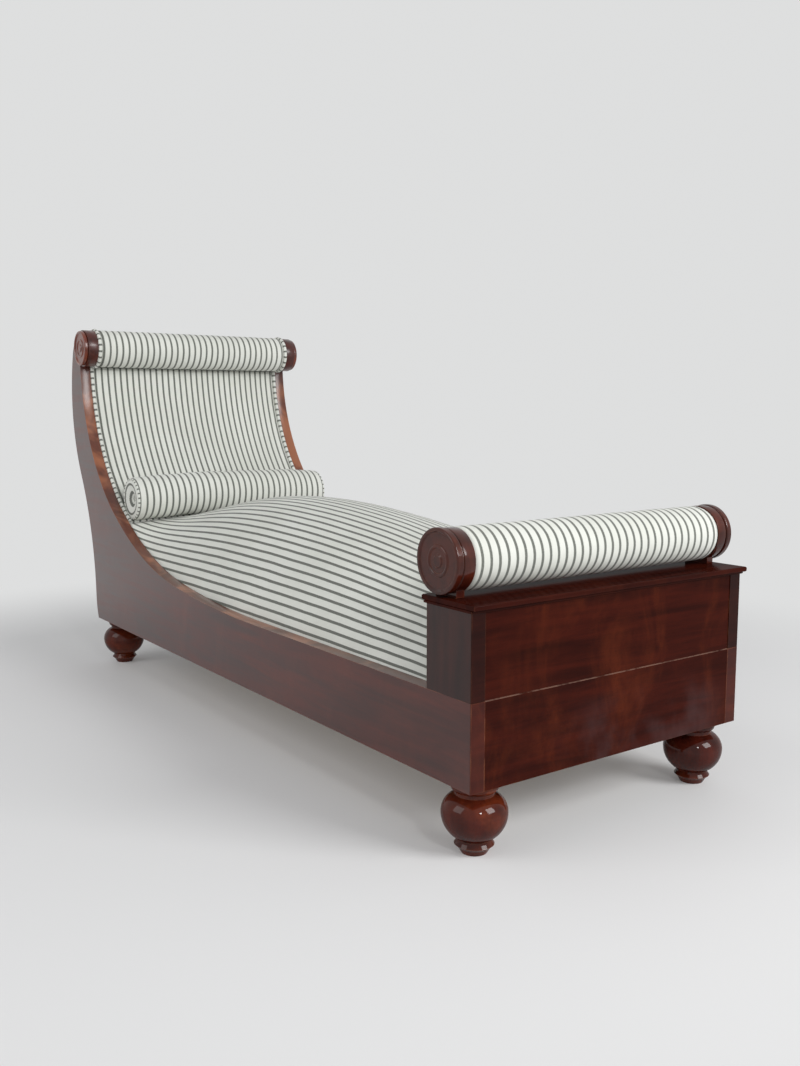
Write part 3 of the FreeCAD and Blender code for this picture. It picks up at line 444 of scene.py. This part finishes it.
def finish_for(node_name):
    """The entry whose key is the longest start of the node's name."""
    keys = [key for key in TIMBER if node_name.startswith(key)]
    return TIMBER[max(keys, key=len)] if keys else None


def ease_edges(piece, width):
    """Join the loose triangles and round the sharp edges by a width in millimetres."""
    weld = piece.modifiers.new("Weld", "WELD")
    weld.merge_threshold = 0.01 * MM
    bevel = piece.modifiers.new("Eased_edges", "BEVEL")
    bevel.width = width * MM
    bevel.segments = 3
    bevel.limit_method = "ANGLE"
    bevel.angle_limit = math.radians(40)
    bevel.harden_normals = True


for node_name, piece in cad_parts.items():
    entry = finish_for(node_name)
    if entry is None:
        continue
    material, width = entry
    piece.data.materials.clear()
    piece.data.materials.append(material)
    if width:
        ease_edges(piece, width)
print("timber nodes dressed")

# %% [markdown]
# ## Making a cover
# Covers are bmesh shapes. Each is turned into an object at the origin, gets its cloth map,
# rides on the body that it belongs to, and hides the frame nodes that it stands for.

# %% Helpers for covers


def lay_cloth(bm, rule):
    """Write the cloth map: rule gives (across, along) in metres for a point of a face."""
    layer = bm.loops.layers.uv.new("cloth")
    for face in bm.faces:
        middle = face.calc_center_median()
        for loop in face.loops:
            loop[layer].uv = rule(loop.vert.co, middle)


def cover(name, bm, material, body, stands_for):
    """Turn a bmesh into a smooth piece that rides on a body."""
    bmesh.ops.recalc_face_normals(bm, faces=bm.faces)
    mesh = bpy.data.meshes.new(name)
    bm.to_mesh(mesh)
    bm.free()
    mesh.polygons.foreach_set("use_smooth", [True] * len(mesh.polygons))
    mesh.materials.append(material)
    piece = bpy.data.objects.new(name, mesh)
    scene.collection.objects.link(piece)
    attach(piece, body)
    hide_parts(*stands_for)
    print("%-28s faces %6d" % (name, len(mesh.polygons)))
    return piece


def angle_about(centre, point):
    """Angle of a point round a level axis across the bed."""
    return math.atan2(point.z - centre.z, point.x - centre.x)


def near_angle(angle, other):
    """The same angle, moved by whole turns to lie next to another one."""
    return angle + 2 * math.pi * round((other - angle) / (2 * math.pi))


def round_rule(centre, radius):
    """Cloth map of a roll: stripes run round it, threads are measured along its skin."""

    def rule(point, middle):
        angle = near_angle(angle_about(centre, point), angle_about(centre, middle))
        return point.y, angle * radius

    return rule


# %% [markdown]
# ## Swelling a cover
# A cushion looks stuffed because its cover is pushed out everywhere and held back at its
# seams. The Cloth modifier does that with a little pressure and no gravity; the seams are
# pinned. Then each point is held to a cap, and to the room that the frame leaves.

# %% Pressure inside a pinned cover
STUFFING_FRAMES = 16


def swell(piece, pinned, pressure, cap, limit=None):
    """Blow a cover up for a few frames, keep each point within cap, then make it its shape."""
    rest = [vertex.co.copy() for vertex in piece.data.vertices]
    group = piece.vertex_groups.new(name="seams")
    for vertex in piece.data.vertices:
        group.add([vertex.index], pinned(vertex.co), "REPLACE")
    cloth = piece.modifiers.new("Stuffing", "CLOTH")
    settings = cloth.settings
    settings.quality = 5
    settings.mass = 0.3
    settings.tension_stiffness = 12
    settings.compression_stiffness = 12
    settings.shear_stiffness = 4
    settings.bending_stiffness = 0.4
    settings.use_pressure = True
    settings.uniform_pressure_force = pressure
    settings.effector_weights.gravity = 0
    settings.vertex_group_mass = "seams"
    scene.frame_start, scene.frame_end = 1, STUFFING_FRAMES
    cloth.point_cache.frame_start, cloth.point_cache.frame_end = 1, STUFFING_FRAMES
    for number in range(1, STUFFING_FRAMES + 1):
        scene.frame_set(number)
    settled = piece.evaluated_get(bpy.context.evaluated_depsgraph_get())
    places = [vertex.co.copy() for vertex in settled.data.vertices]
    piece.modifiers.remove(cloth)
    piece.vertex_groups.remove(group)
    farthest = 0.0
    for vertex, start, place in zip(piece.data.vertices, rest, places):
        move = place - start
        if move.length > cap:
            move *= cap / move.length
        vertex.co = start + move
        if limit:
            vertex.co = limit(vertex.co)
        farthest = max(farthest, move.length)
    piece.data.update()
    scene.frame_set(1)
    print("%s swelled by up to %.1f mm" % (piece.name, farthest / MM))


# %% [markdown]
# ## The seat cover
# The seat is a stuffed dome that drops in between the side boards. Its cover starts as a grid,
# and each point of the grid is lowered onto the frame's own seat with a ray, so it has the
# crown of the real stuffing. The border is then drawn down as a skirt, which is what gets
# tacked under the seat. The stripes run lengthwise, and the fullness is eased so that they stay
# parallel with the rails: the cloth map measures its way over the seat row by row. Towards the
# head the seat's border climbs behind the sweeping side boards and takes the outer stripes off.

# %% Lower a grid onto the seat and draw down its skirt
SEAT_STEP = 9 * MM
seat_low, seat_high, seat_middle = span("seat_pad")
seat_edge = 0.4 * MM
TURNOVER = 12 * MM
ARC_STEPS = 80
EDGE_SHARE = 0.9


def tree_of(node_name):
    """Ray target made of a frame node."""
    bm = bmesh.new()
    bm.from_mesh(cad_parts[node_name].data)
    target = BVHTree.FromBMesh(bm)
    bm.free()
    return target


seat_target = tree_of("seat_pad")


def seat_height(x, y):
    """Height of the stuffed seat over a place."""
    x = min(max(x, seat_low.x + seat_edge), seat_high.x - seat_edge)
    y = min(max(y, seat_low.y + seat_edge), seat_high.y - seat_edge)
    hit = seat_target.ray_cast(Vector((x, y, 2.0)), Vector((0, 0, -1)))[0]
    return hit.z if hit else seat_low.z


def arc_lengths(x):
    """Lengths over the seat from its middle line to evenly spread places across it."""
    total = 0.0
    lengths = [total]
    before = seat_height(x, 0.0)
    step = seat_high.y / ARC_STEPS
    for index in range(1, ARC_STEPS + 1):
        height = seat_height(x, index * step)
        total += math.hypot(step, height - before)
        before = height
        lengths.append(total)
    return lengths


low_edge_x = seat_middle.x + seat_high.x / 2
SEAT_CLOTH = arc_lengths(low_edge_x)[-1]
LOW_EDGE = seat_height(low_edge_x, seat_high.y)
print("cloth over half the seat %.3f m, half width %.3f m" % (SEAT_CLOTH, seat_high.y))


def seat_rule():
    """Stripes run from head to foot, spread evenly over the seat and on down its sides."""
    known = {}

    def rule(point, middle):
        row = round(point.x, 4)
        if row not in known:
            known[row] = arc_lengths(point.x)
        lengths = known[row]
        place = min(abs(point.y) / seat_high.y, 1.0) * ARC_STEPS
        index = min(int(place), ARC_STEPS - 1)
        over = lengths[index] + (lengths[index + 1] - lengths[index]) * (place - index)
        rise = seat_height(point.x, seat_high.y) - LOW_EDGE
        over *= (SEAT_CLOTH - EDGE_SHARE * rise) / lengths[-1]
        if abs(middle.y) > seat_high.y - 1 * MM:
            over += seat_height(point.x, point.y) - point.z
        return math.copysign(over, point.y), point.x

    return rule


def seat_cover():
    """The domed seat, with its stripes from head to foot."""
    bm = bmesh.new()
    length = seat_high.x - seat_low.x
    width = seat_high.y - seat_low.y
    bmesh.ops.create_grid(
        bm,
        x_segments=round(length / SEAT_STEP),
        y_segments=round(width / SEAT_STEP),
        size=0.5,
    )
    for vertex in bm.verts:
        vertex.co.x = seat_middle.x + vertex.co.x * length
        vertex.co.y = seat_middle.y + vertex.co.y * width
        vertex.co.z = seat_height(vertex.co.x, vertex.co.y)
    frame_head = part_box("seat_rail_head")[0].x
    for drop, last in ((TURNOVER, False), (seat_high.z, True)):
        border = [edge for edge in bm.edges if edge.is_boundary]
        drawn = bmesh.ops.extrude_edge_only(bm, edges=border)
        for vertex in (item for item in drawn["geom"] if isinstance(item, bmesh.types.BMVert)):
            vertex.co.z = max(vertex.co.z - drop, seat_low.z)
            if last:
                vertex.co.x = max(vertex.co.x, frame_head)
    lay_cloth(bm, seat_rule())
    border = [edge for edge in bm.edges if edge.is_boundary]
    bmesh.ops.contextual_create(bm, geom=border)
    return cover("seat_upholstery", bm, striped, "seat", ["seat_pad"])


HELD_BORDER = 40 * MM


def seat_pin(point):
    """Hold the skirt, and let go towards the middle of the seat."""
    inward = min(seat_high.y - abs(point.y), point.x - seat_low.x, seat_high.x - point.x)
    return 1.0 if inward < 1 * MM else max(0.0, 1.0 - inward / HELD_BORDER)


def seat_room(point):
    """Keep the cover between the side boards and off the webbing."""
    point.y = min(max(point.y, seat_low.y), seat_high.y)
    point.z = max(point.z, seat_low.z)
    return point


seat_piece = seat_cover()
swell(seat_piece, seat_pin, 4.0, 7 * MM, limit=seat_room)

# %% [markdown]
# ## The back
# The back pad bends in one arc between the panels. A closed section, thin and as wide as the
# bed, is spun about the middle of that arc. The section has the crown: it stands a little
# proud in its middle and is drawn in along both sides, where the trim holds it.

# %% Spin the section of the back about the arc's axis
back_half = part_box("back_pad")[1].y
BACK_TOP = math.radians(3)
BACK_CREASE = math.radians(61)
pad_face = back_radius + 4 * MM
pad_rear = pad_face + 30 * MM
BACK_CROWN = 5 * MM
BACK_COLUMNS = 64
BACK_FLAT = 0.96
BACK_NIP = 6 * MM


def spun_section(points, centre, start, turn, steps, closed=True):
    """A section in (radius, y) spun about a level axis; angles are measured below level."""
    bm = bmesh.new()
    way = Vector((-math.cos(start), 0, -math.sin(start)))
    verts = [bm.verts.new(centre + way * radius + Vector((0, y, 0))) for radius, y in points]
    count = len(verts) if closed else len(verts) - 1
    for index in range(count):
        bm.edges.new((verts[index], verts[(index + 1) % len(verts)]))
    bmesh.ops.spin(
        bm,
        geom=list(bm.verts) + list(bm.edges),
        cent=centre,
        axis=(0, -1, 0),
        dvec=(0, 0, 0),
        angle=turn,
        steps=steps,
        use_merge=abs(turn) > 6.28,
        use_duplicate=False,
    )
    return bm


def fill_ends(bm):
    """Close the open ends of a spun section."""
    bmesh.ops.holes_fill(bm, edges=[edge for edge in bm.edges if edge.is_boundary])


def back_rule(point, middle):
    """Stripes run up the back."""
    return point.y, angle_about(back_centre, point) * back_radius


def back_cover():
    """The padded inside of the back."""
    front = []
    for index in range(BACK_COLUMNS + 1):
        share = index / BACK_COLUMNS * 2 - 1
        crown = BACK_CROWN * (1 - share ** 4)
        drawn_in = BACK_NIP * max(0, abs(share) - BACK_FLAT) / (1 - BACK_FLAT)
        front.append((pad_face - crown + drawn_in, back_half * share))
    rear = [(pad_rear, back_half), (pad_rear, -back_half)]
    bm = spun_section(front + rear, back_centre, BACK_TOP, BACK_CREASE - BACK_TOP, 60)
    fill_ends(bm)
    lay_cloth(bm, back_rule)
    return cover("back_upholstery", bm, striped, "frame", ["back_pad"])


back_piece = back_cover()

# %% [markdown]
# ## Rolls
# A roll is stuffing wound round a timber core with a cover stretched over it. It is spun from
# its own side view. A drum that is perfectly round looks like a pipe, so slow noise moves the
# skin by under a millimetre, and the cover is nipped in just before each end.

# %% Spin a roll from its side view
ROLL_STEPS = 96
ROLL_ROWS = 70
ROLL_ROUNDING = 5 * MM
ROLL_NIP = 3 * MM
LUMP_HEIGHT = 0.7 * MM
LUMPS_PER_METRE = 22
JOINED = 0.01 * MM


def roll_cover(name, node_name, core_name):
    """A stuffed roll in the place of a frame roll."""
    low, high, middle = span(node_name)
    radius = (high.z - low.z) / 2
    core = (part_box(core_name)[1].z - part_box(core_name)[0].z) / 2 + 0.5 * MM
    half = high.y
    side = [(core, -half)]
    for index in range(ROLL_ROWS + 1):
        y = -half + 2 * half * index / ROLL_ROWS
        from_end = min(half - abs(y), ROLL_ROUNDING) / ROLL_ROUNDING
        side.append((radius - ROLL_NIP * (1 - math.sqrt(from_end * (2 - from_end))), y))
    side.append((core, half))
    bm = spun_section(side, middle, 0.0, 2 * math.pi, ROLL_STEPS)
    bmesh.ops.remove_doubles(bm, verts=bm.verts, dist=JOINED)
    for vertex in bm.verts:
        outward = vertex.co - Vector((middle.x, vertex.co.y, middle.z))
        if outward.length > core + 1 * MM:
            wave = noise.noise(vertex.co * LUMPS_PER_METRE) * LUMP_HEIGHT
            vertex.co += outward.normalized() * wave
    lay_cloth(bm, round_rule(middle, radius))
    piece = cover(name, bm, striped, "frame", [node_name])


for end in ("head", "foot"):
    roll_cover(end + "_roll_upholstery", end + "_roll_pad", end + "_roll_core")

# %% [markdown]
# ## Dashed trim
# A narrow welt of the same ticking, cut across its stripes, covers the tacks along both edges
# of the back and round both ends of the head roll. Cut across, the stripes turn into dashes,
# so here the cloth map runs along the welt. Its section is a low arch.

# %% Spin the welts of the back and the head roll
TRIM_POINTS = 9
ARCH_FOOT = 0.35
TRIM_PROUD = 4.5 * MM
TRIM_DEPTH = 8 * MM


def arch(outer, inner, y_low, y_high):
    """Closed section of a welt, rounded towards the outer radius."""
    points = [(inner, y_low)]
    for index in range(TRIM_POINTS):
        turn = math.pi * index / (TRIM_POINTS - 1)
        middle = (y_low + y_high) / 2
        y = middle - math.cos(turn) * (y_high - y_low) / 2
        share = ARCH_FOOT + (1 - ARCH_FOOT) * math.sin(turn)
        points.append((inner + (outer - inner) * share, y))
    points.append((inner, y_high))
    return points


def trim_rule(centre, radius):
    """Dashes along the welt; the other way of the map lies across it."""

    def rule(point, middle):
        angle = near_angle(angle_about(centre, point), angle_about(centre, middle))
        return angle * radius, point.y

    return rule


def welts():
    """Both welts of the back and both rings of the head roll."""
    ring_low, ring_high, ring_middle = span("roll_welt_left")
    ring_radius = (ring_high.z - ring_low.z) / 2
    ring_middle.y = 0
    for name in ("right", "left"):
        low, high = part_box("back_welt_" + name)
        front = back_radius - TRIM_PROUD
        section = arch(front, pad_face - 0.2 * MM, low.y, high.y)
        bm = spun_section(section, back_centre, BACK_TOP, BACK_CREASE - BACK_TOP, 90)
        fill_ends(bm)
        lay_cloth(bm, trim_rule(back_centre, front))
        cover("back_trim_" + name, bm, striped, "frame", ["back_welt_" + name])
        low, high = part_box("roll_welt_" + name)
        section = arch(ring_radius, ring_radius - TRIM_DEPTH, low.y, high.y)
        bm = spun_section(section, ring_middle, 0.0, 2 * math.pi, ROLL_STEPS)
        bmesh.ops.remove_doubles(bm, verts=bm.verts, dist=JOINED)
        lay_cloth(bm, trim_rule(ring_middle, ring_radius))
        cover("head_roll_trim_" + name, bm, striped, "frame", ["roll_welt_" + name])


welts()

# %% [markdown]
# ## The loose bolster
# The bolster's tube of ticking is gathered to the middle of each end, so its stripes turn into
# rings there. It is spun from a side view that dives into a dimple, then pleated: near the
# middle of an end, a fast wave round the axis pushes the skin in and out. It lies over the
# crown of the seat, so it is bent a little upwards in its middle.

# %% Spin, pleat and bend the bolster
bolster_low, bolster_high, bolster_middle = span("bolster")
bolster_radius = (bolster_high.z - bolster_low.z) / 2
bolster_half = bolster_high.y
BOLSTER_CORNER = 18 * MM
BOLSTER_SAG = 9 * MM
BOLSTER_ROWS = 66
PLEATS = 26
PLEAT_DEPTH = 1.6 * MM
PLEAT_FADE = 22 * MM


def bolster_side():
    """Side view of the bolster from one end's middle to the other's."""
    flat = bolster_radius - BOLSTER_CORNER
    end = [(1.5 * MM, 20 * MM), (5 * MM, 18.5 * MM), (10 * MM, 13 * MM), (17 * MM, 8.5 * MM)]
    end += [(25 * MM, 5 * MM), (34 * MM, 2 * MM), (flat, 0.3 * MM)]
    for index in range(1, 8):
        turn = math.pi / 2 * index / 8
        radius = flat + BOLSTER_CORNER * math.sin(turn)
        end.append((radius, BOLSTER_CORNER * (1 - math.cos(turn))))
    barrel = []
    for index in range(BOLSTER_ROWS + 1):
        share = index / BOLSTER_ROWS * 2 - 1
        barrel.append((bolster_radius, share * (bolster_half - BOLSTER_CORNER)))
    near = [(radius, -bolster_half + inset) for radius, inset in end]
    far = [(radius, bolster_half - inset) for radius, inset in reversed(end)]
    return near + barrel + far


def bolster_rule(point, middle):
    """Stripes round the barrel that go on as rings over the ends."""
    angle = near_angle(angle_about(bolster_middle, point), angle_about(bolster_middle, middle))
    outward = math.hypot(point.x - bolster_middle.x, point.z - bolster_middle.z)
    reach = bolster_half - BOLSTER_CORNER
    side = 1 if point.y > 0 else -1
    if abs(point.y) <= reach:
        return point.y, angle * bolster_radius
    over_end = (bolster_radius - outward) + min(abs(point.y) - reach, BOLSTER_CORNER) * 0.6
    return side * (reach + over_end), angle * bolster_radius


def bend_bolster(point):
    """Sag the ends of the bolster over the crown of the seat."""
    share = point.y / bolster_half
    return Vector((point.x, point.y, point.z - BOLSTER_SAG * share * share))


def bolster_cover():
    """The loose bolster with gathered ends."""
    bm = spun_section(bolster_side(), bolster_middle, 0.0, 2 * math.pi, ROLL_STEPS, False)
    bmesh.ops.remove_doubles(bm, verts=bm.verts, dist=JOINED)
    fill_ends(bm)
    lay_cloth(bm, bolster_rule)
    for vertex in bm.verts:
        point = vertex.co
        outward = Vector((point.x - bolster_middle.x, 0, point.z - bolster_middle.z))
        side = 1 if point.y > 0 else -1
        if bolster_half - abs(point.y) < 21 * MM and outward.length < bolster_radius - 2 * MM:
            angle = angle_about(bolster_middle, point)
            depth = PLEAT_DEPTH * math.exp(-outward.length / PLEAT_FADE)
            wave = math.cos(PLEATS * angle + 2.5 * noise.noise(point * 40))
            vertex.co.y += side * depth * wave
        elif outward.length > 1e-6:
            wave = noise.noise(point * 17) * 2 - 1
            vertex.co += outward.normalized() * wave * LUMP_HEIGHT
    for vertex in bm.verts:
        vertex.co = bend_bolster(vertex.co)
    return cover("bolster_cushion", bm, striped, "bolster", ["bolster"])


def bolster_pin(point):
    """Hold the gathered ends."""
    return 1.0 if bolster_half - abs(point.y) < 26 * MM else 0.0


bolster_piece = bolster_cover()
swell(bolster_piece, bolster_pin, 2.0, 2.5 * MM)

# %% [markdown]
# ## Piping round the bolster's ends
# A cord in a bias-cut strip of ticking closes each end seam. It is a ring: a small circle spun
# about the bolster's axis, bent with the bolster.

# %% Two rings of piping
PIPING = 3.2 * MM
PIPING_INSET = 6.5 * MM
PIPING_SET_BACK = 4.5 * MM


def piping(name, side):
    """One ring of striped piping."""
    bm = bmesh.new()
    ring_radius = bolster_radius - PIPING_INSET
    across = side * (bolster_half - PIPING_SET_BACK)
    start = bolster_middle + Vector((-ring_radius, across, 0))
    turned_circle = Matrix.Translation(start)
    bmesh.ops.create_circle(bm, segments=12, radius=PIPING, matrix=turned_circle)
    bmesh.ops.spin(
        bm,
        geom=list(bm.verts) + list(bm.edges),
        cent=bolster_middle,
        axis=(0, -1, 0),
        dvec=(0, 0, 0),
        angle=2 * math.pi,
        steps=ROLL_STEPS,
        use_merge=True,
        use_duplicate=False,
    )
    bmesh.ops.remove_doubles(bm, verts=bm.verts, dist=JOINED)
    lay_cloth(bm, trim_rule(bolster_middle, ring_radius))
    for vertex in bm.verts:
        vertex.co = bend_bolster(vertex.co)
    cover(name, bm, piping_cloth, "bolster", [])


for name, side in (("right", -1), ("left", 1)):
    piping("bolster_piping_" + name, side)

# %% [markdown]
# ## The outside of the back
# Behind, a sheet of the same ticking is stretched from the bottom rail up to the roll. It
# follows the back edge of the panels, which is three arcs, each tangent to the one before. A
# level row of points is spun through the arcs one after another, and cut off at the rail.

# %% Spin a row through three arcs
SHEET_INSET = 7.2 * MM
SHEET_COLUMNS = 40
HEEL = Vector((-823.8, 0, 200.3)) * MM
OUTSIDE_ARCS = ((719 * MM, 30.2), (449.6 * MM, -49.0), (98.6 * MM, -71.2))
sheet_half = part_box("outside_back_cover")[1].y


def outside_sheet():
    """The stretched sheet that covers the back from behind."""
    bm = bmesh.new()
    start = HEEL + Vector((SHEET_INSET, 0, 0))
    row = []
    for index in range(SHEET_COLUMNS + 1):
        y = sheet_half * (index / SHEET_COLUMNS * 2 - 1)
        row.append(bm.verts.new(start + Vector((0, y, 0))))
    edges = [bm.edges.new(pair) for pair in zip(row, row[1:])]
    last = row + edges
    place = start
    heading = math.radians(90)
    for radius, degrees in OUTSIDE_ARCS:
        turn = math.radians(degrees)
        side = 1 if turn > 0 else -1
        radius = radius + SHEET_INSET * side
        normal = Vector((-math.sin(heading), 0, math.cos(heading))) * side
        centre = place + normal * radius
        made = bmesh.ops.spin(
            bm,
            geom=last,
            cent=centre,
            axis=(0, -side, 0),
            dvec=(0, 0, 0),
            angle=abs(turn),
            steps=max(8, round(abs(degrees) / 1.5)),
            use_merge=False,
            use_duplicate=False,
        )
        last = made["geom_last"]
        heading += turn
        spoke = place - centre
        spoke.rotate(Matrix.Rotation(-turn, 3, "Y"))
        place = centre + spoke
    rail_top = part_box("head_bottom_rail")[1].z
    everything = list(bm.verts) + list(bm.edges) + list(bm.faces)
    bmesh.ops.bisect_plane(
        bm,
        geom=everything,
        plane_co=(0, 0, rail_top + 0.5 * MM),
        plane_no=(0, 0, 1),
        clear_inner=True,
    )
    print("outside sheet ends at", [round(value, 4) for value in place])
    lay_cloth(bm, lambda point, middle: (point.y, point.z))
    flat_area = sum(face.calc_area() for face in bm.faces)
    piece = cover("outside_back_sheet", bm, striped, "frame", ["outside_back_cover"])
    wall = piece.modifiers.new("Thickness", "SOLIDIFY")
    wall.thickness = 1.2 * MM
    wall.offset = 0


outside_sheet()

# %% [markdown]
# ## The floor
# The floor is plain and pale. Close to the bed it is a dull white that takes the shadow, with a
# tenth of painted light, a glow in the background's tone, that lightens the shadow; further out
# it blends into the same tone as the world behind it, so no horizon shows.

# %% Floor that fades into the background
BACKDROP = colour(0.73, 0.735, 0.735)


def pale_floor():
    """A wide floor whose far part is the colour of the background."""
    bm = bmesh.new()
    bmesh.ops.create_circle(bm, cap_ends=True, segments=64, radius=40.0)
    mesh = bpy.data.meshes.new("floor")
    bm.to_mesh(mesh)
    bm.free()
    floor = bpy.data.objects.new("floor", mesh)
    scene.collection.objects.link(floor)
    material, tree, shader = blank_finish("pale_floor")
    shader.inputs["Base Color"].default_value = colour(0.80, 0.80, 0.80)
    shader.inputs["Roughness"].default_value = 0.6
    shader.inputs["Specular IOR Level"].default_value = 0.1
    place = wire(tree, "TexCoord").outputs["Object"]
    far = wire(tree, "VectorMath", {0: place}, operation="LENGTH").outputs["Value"]
    # The glow never drops below a tenth: painted light that lightens the shadow near the bed.
    fade = maths(tree, "MAXIMUM", spread(tree, far, 1.05, 2.3), 0.10)
    glow = wire(tree, "Emission", {"Color": BACKDROP, "Strength": 1.0}).outputs[0]
    joined = wire(tree, "MixShader", {0: fade, 1: shader.outputs[0], 2: glow}).outputs[0]
    tree.links.new(joined, tree.nodes["Material Output"].inputs["Surface"])
    mesh.materials.append(material)


pale_floor()
print("floor laid")

# %% [markdown]
# ## Light
# The light is a soft sky, a large lamp beyond the foot end, a weaker one along the side, and a
# small one for the sparkle on the turnings. Polish and camera see the plain background, so the
# mirrored room is as pale as the floor.

# %% Sky and lamps


def seen_directly(tree):
    """One for rays from the camera, a mirror or glass, which see the plain background."""
    path = wire(tree, "LightPath")
    both = maths(tree, "MAXIMUM", path.outputs["Is Camera Ray"], path.outputs["Is Glossy Ray"])
    return maths(tree, "MAXIMUM", both, path.outputs["Is Transmission Ray"])


def sky():
    """A soft sky; the camera sees the plain background."""
    world = bpy.data.worlds.new("studio")
    world.use_nodes = True
    scene.world = world
    tree = world.node_tree
    tree.nodes.clear()
    rays = seen_directly(tree)
    way = wire(tree, "TexCoord").outputs["Generated"]
    parts = wire(tree, "SeparateXYZ", {0: way})
    dim = spread(tree, parts.outputs[2], 0.15, 0.95)
    tone = mixed(tree, dim, colour(0.88, 0.89, 0.90), colour(0.34, 0.34, 0.35))
    soft = wire(tree, "Background", {"Color": tone, "Strength": 0.8}).outputs[0]
    plain = wire(tree, "Background", {"Color": BACKDROP, "Strength": 1.0}).outputs[0]
    joined = wire(tree, "MixShader", {0: rays, 1: soft, 2: plain}).outputs[0]
    wire(tree, "OutputWorld", {"Surface": joined})


def lamp(name, place, target, size, power):
    """A square soft lamp that looks at a target."""
    data = bpy.data.lights.new(name, "AREA")
    data.size = size
    data.energy = power
    made = bpy.data.objects.new(name, data)
    made.location = place
    made.rotation_euler = (Vector(target) - Vector(place)).to_track_quat("-Z", "Y").to_euler()
    scene.collection.objects.link(made)


sky()
lamp("key_softbox", (4.1, 1.35, 2.7), (-0.2, 0, 0.5), 2.0, 128)
lamp("side_softbox", (-0.2, -3.6, 2.6), (0, 0, 0.4), 2.4, 42)
lamp("sparkle", (3.4, -1.0, 1.9), (0.9, -0.2, 0.2), 0.35, 14)
print("lamps:", sorted(data.name for data in bpy.data.lights))

# %% [markdown]
# ## The camera
# The photograph was taken from the foot end's near corner, a little above the roll. Its place
# and lens come from the perspective of the wooden body.

# %% Camera at the photograph's place
CAMERA_PLACE = Vector((2219.0, -1389.8, 768.1)) * MM
CAMERA_AZIMUTH = 54.32
CAMERA_DIP = 6.997
FOCAL_PIXELS = 1019.57
IMAGE_HEIGHT = 1066
FILM_LONG_SIDE = 36.0

camera_data = bpy.data.cameras.new("photograph")
camera_data.lens = FOCAL_PIXELS / IMAGE_HEIGHT * FILM_LONG_SIDE
camera = bpy.data.objects.new("photograph", camera_data)
camera.location = CAMERA_PLACE
camera.rotation_euler = (math.radians(90 - CAMERA_DIP), 0, math.radians(CAMERA_AZIMUTH))
scene.collection.objects.link(camera)
scene.camera = camera
print("lens %.2f mm" % camera_data.lens)
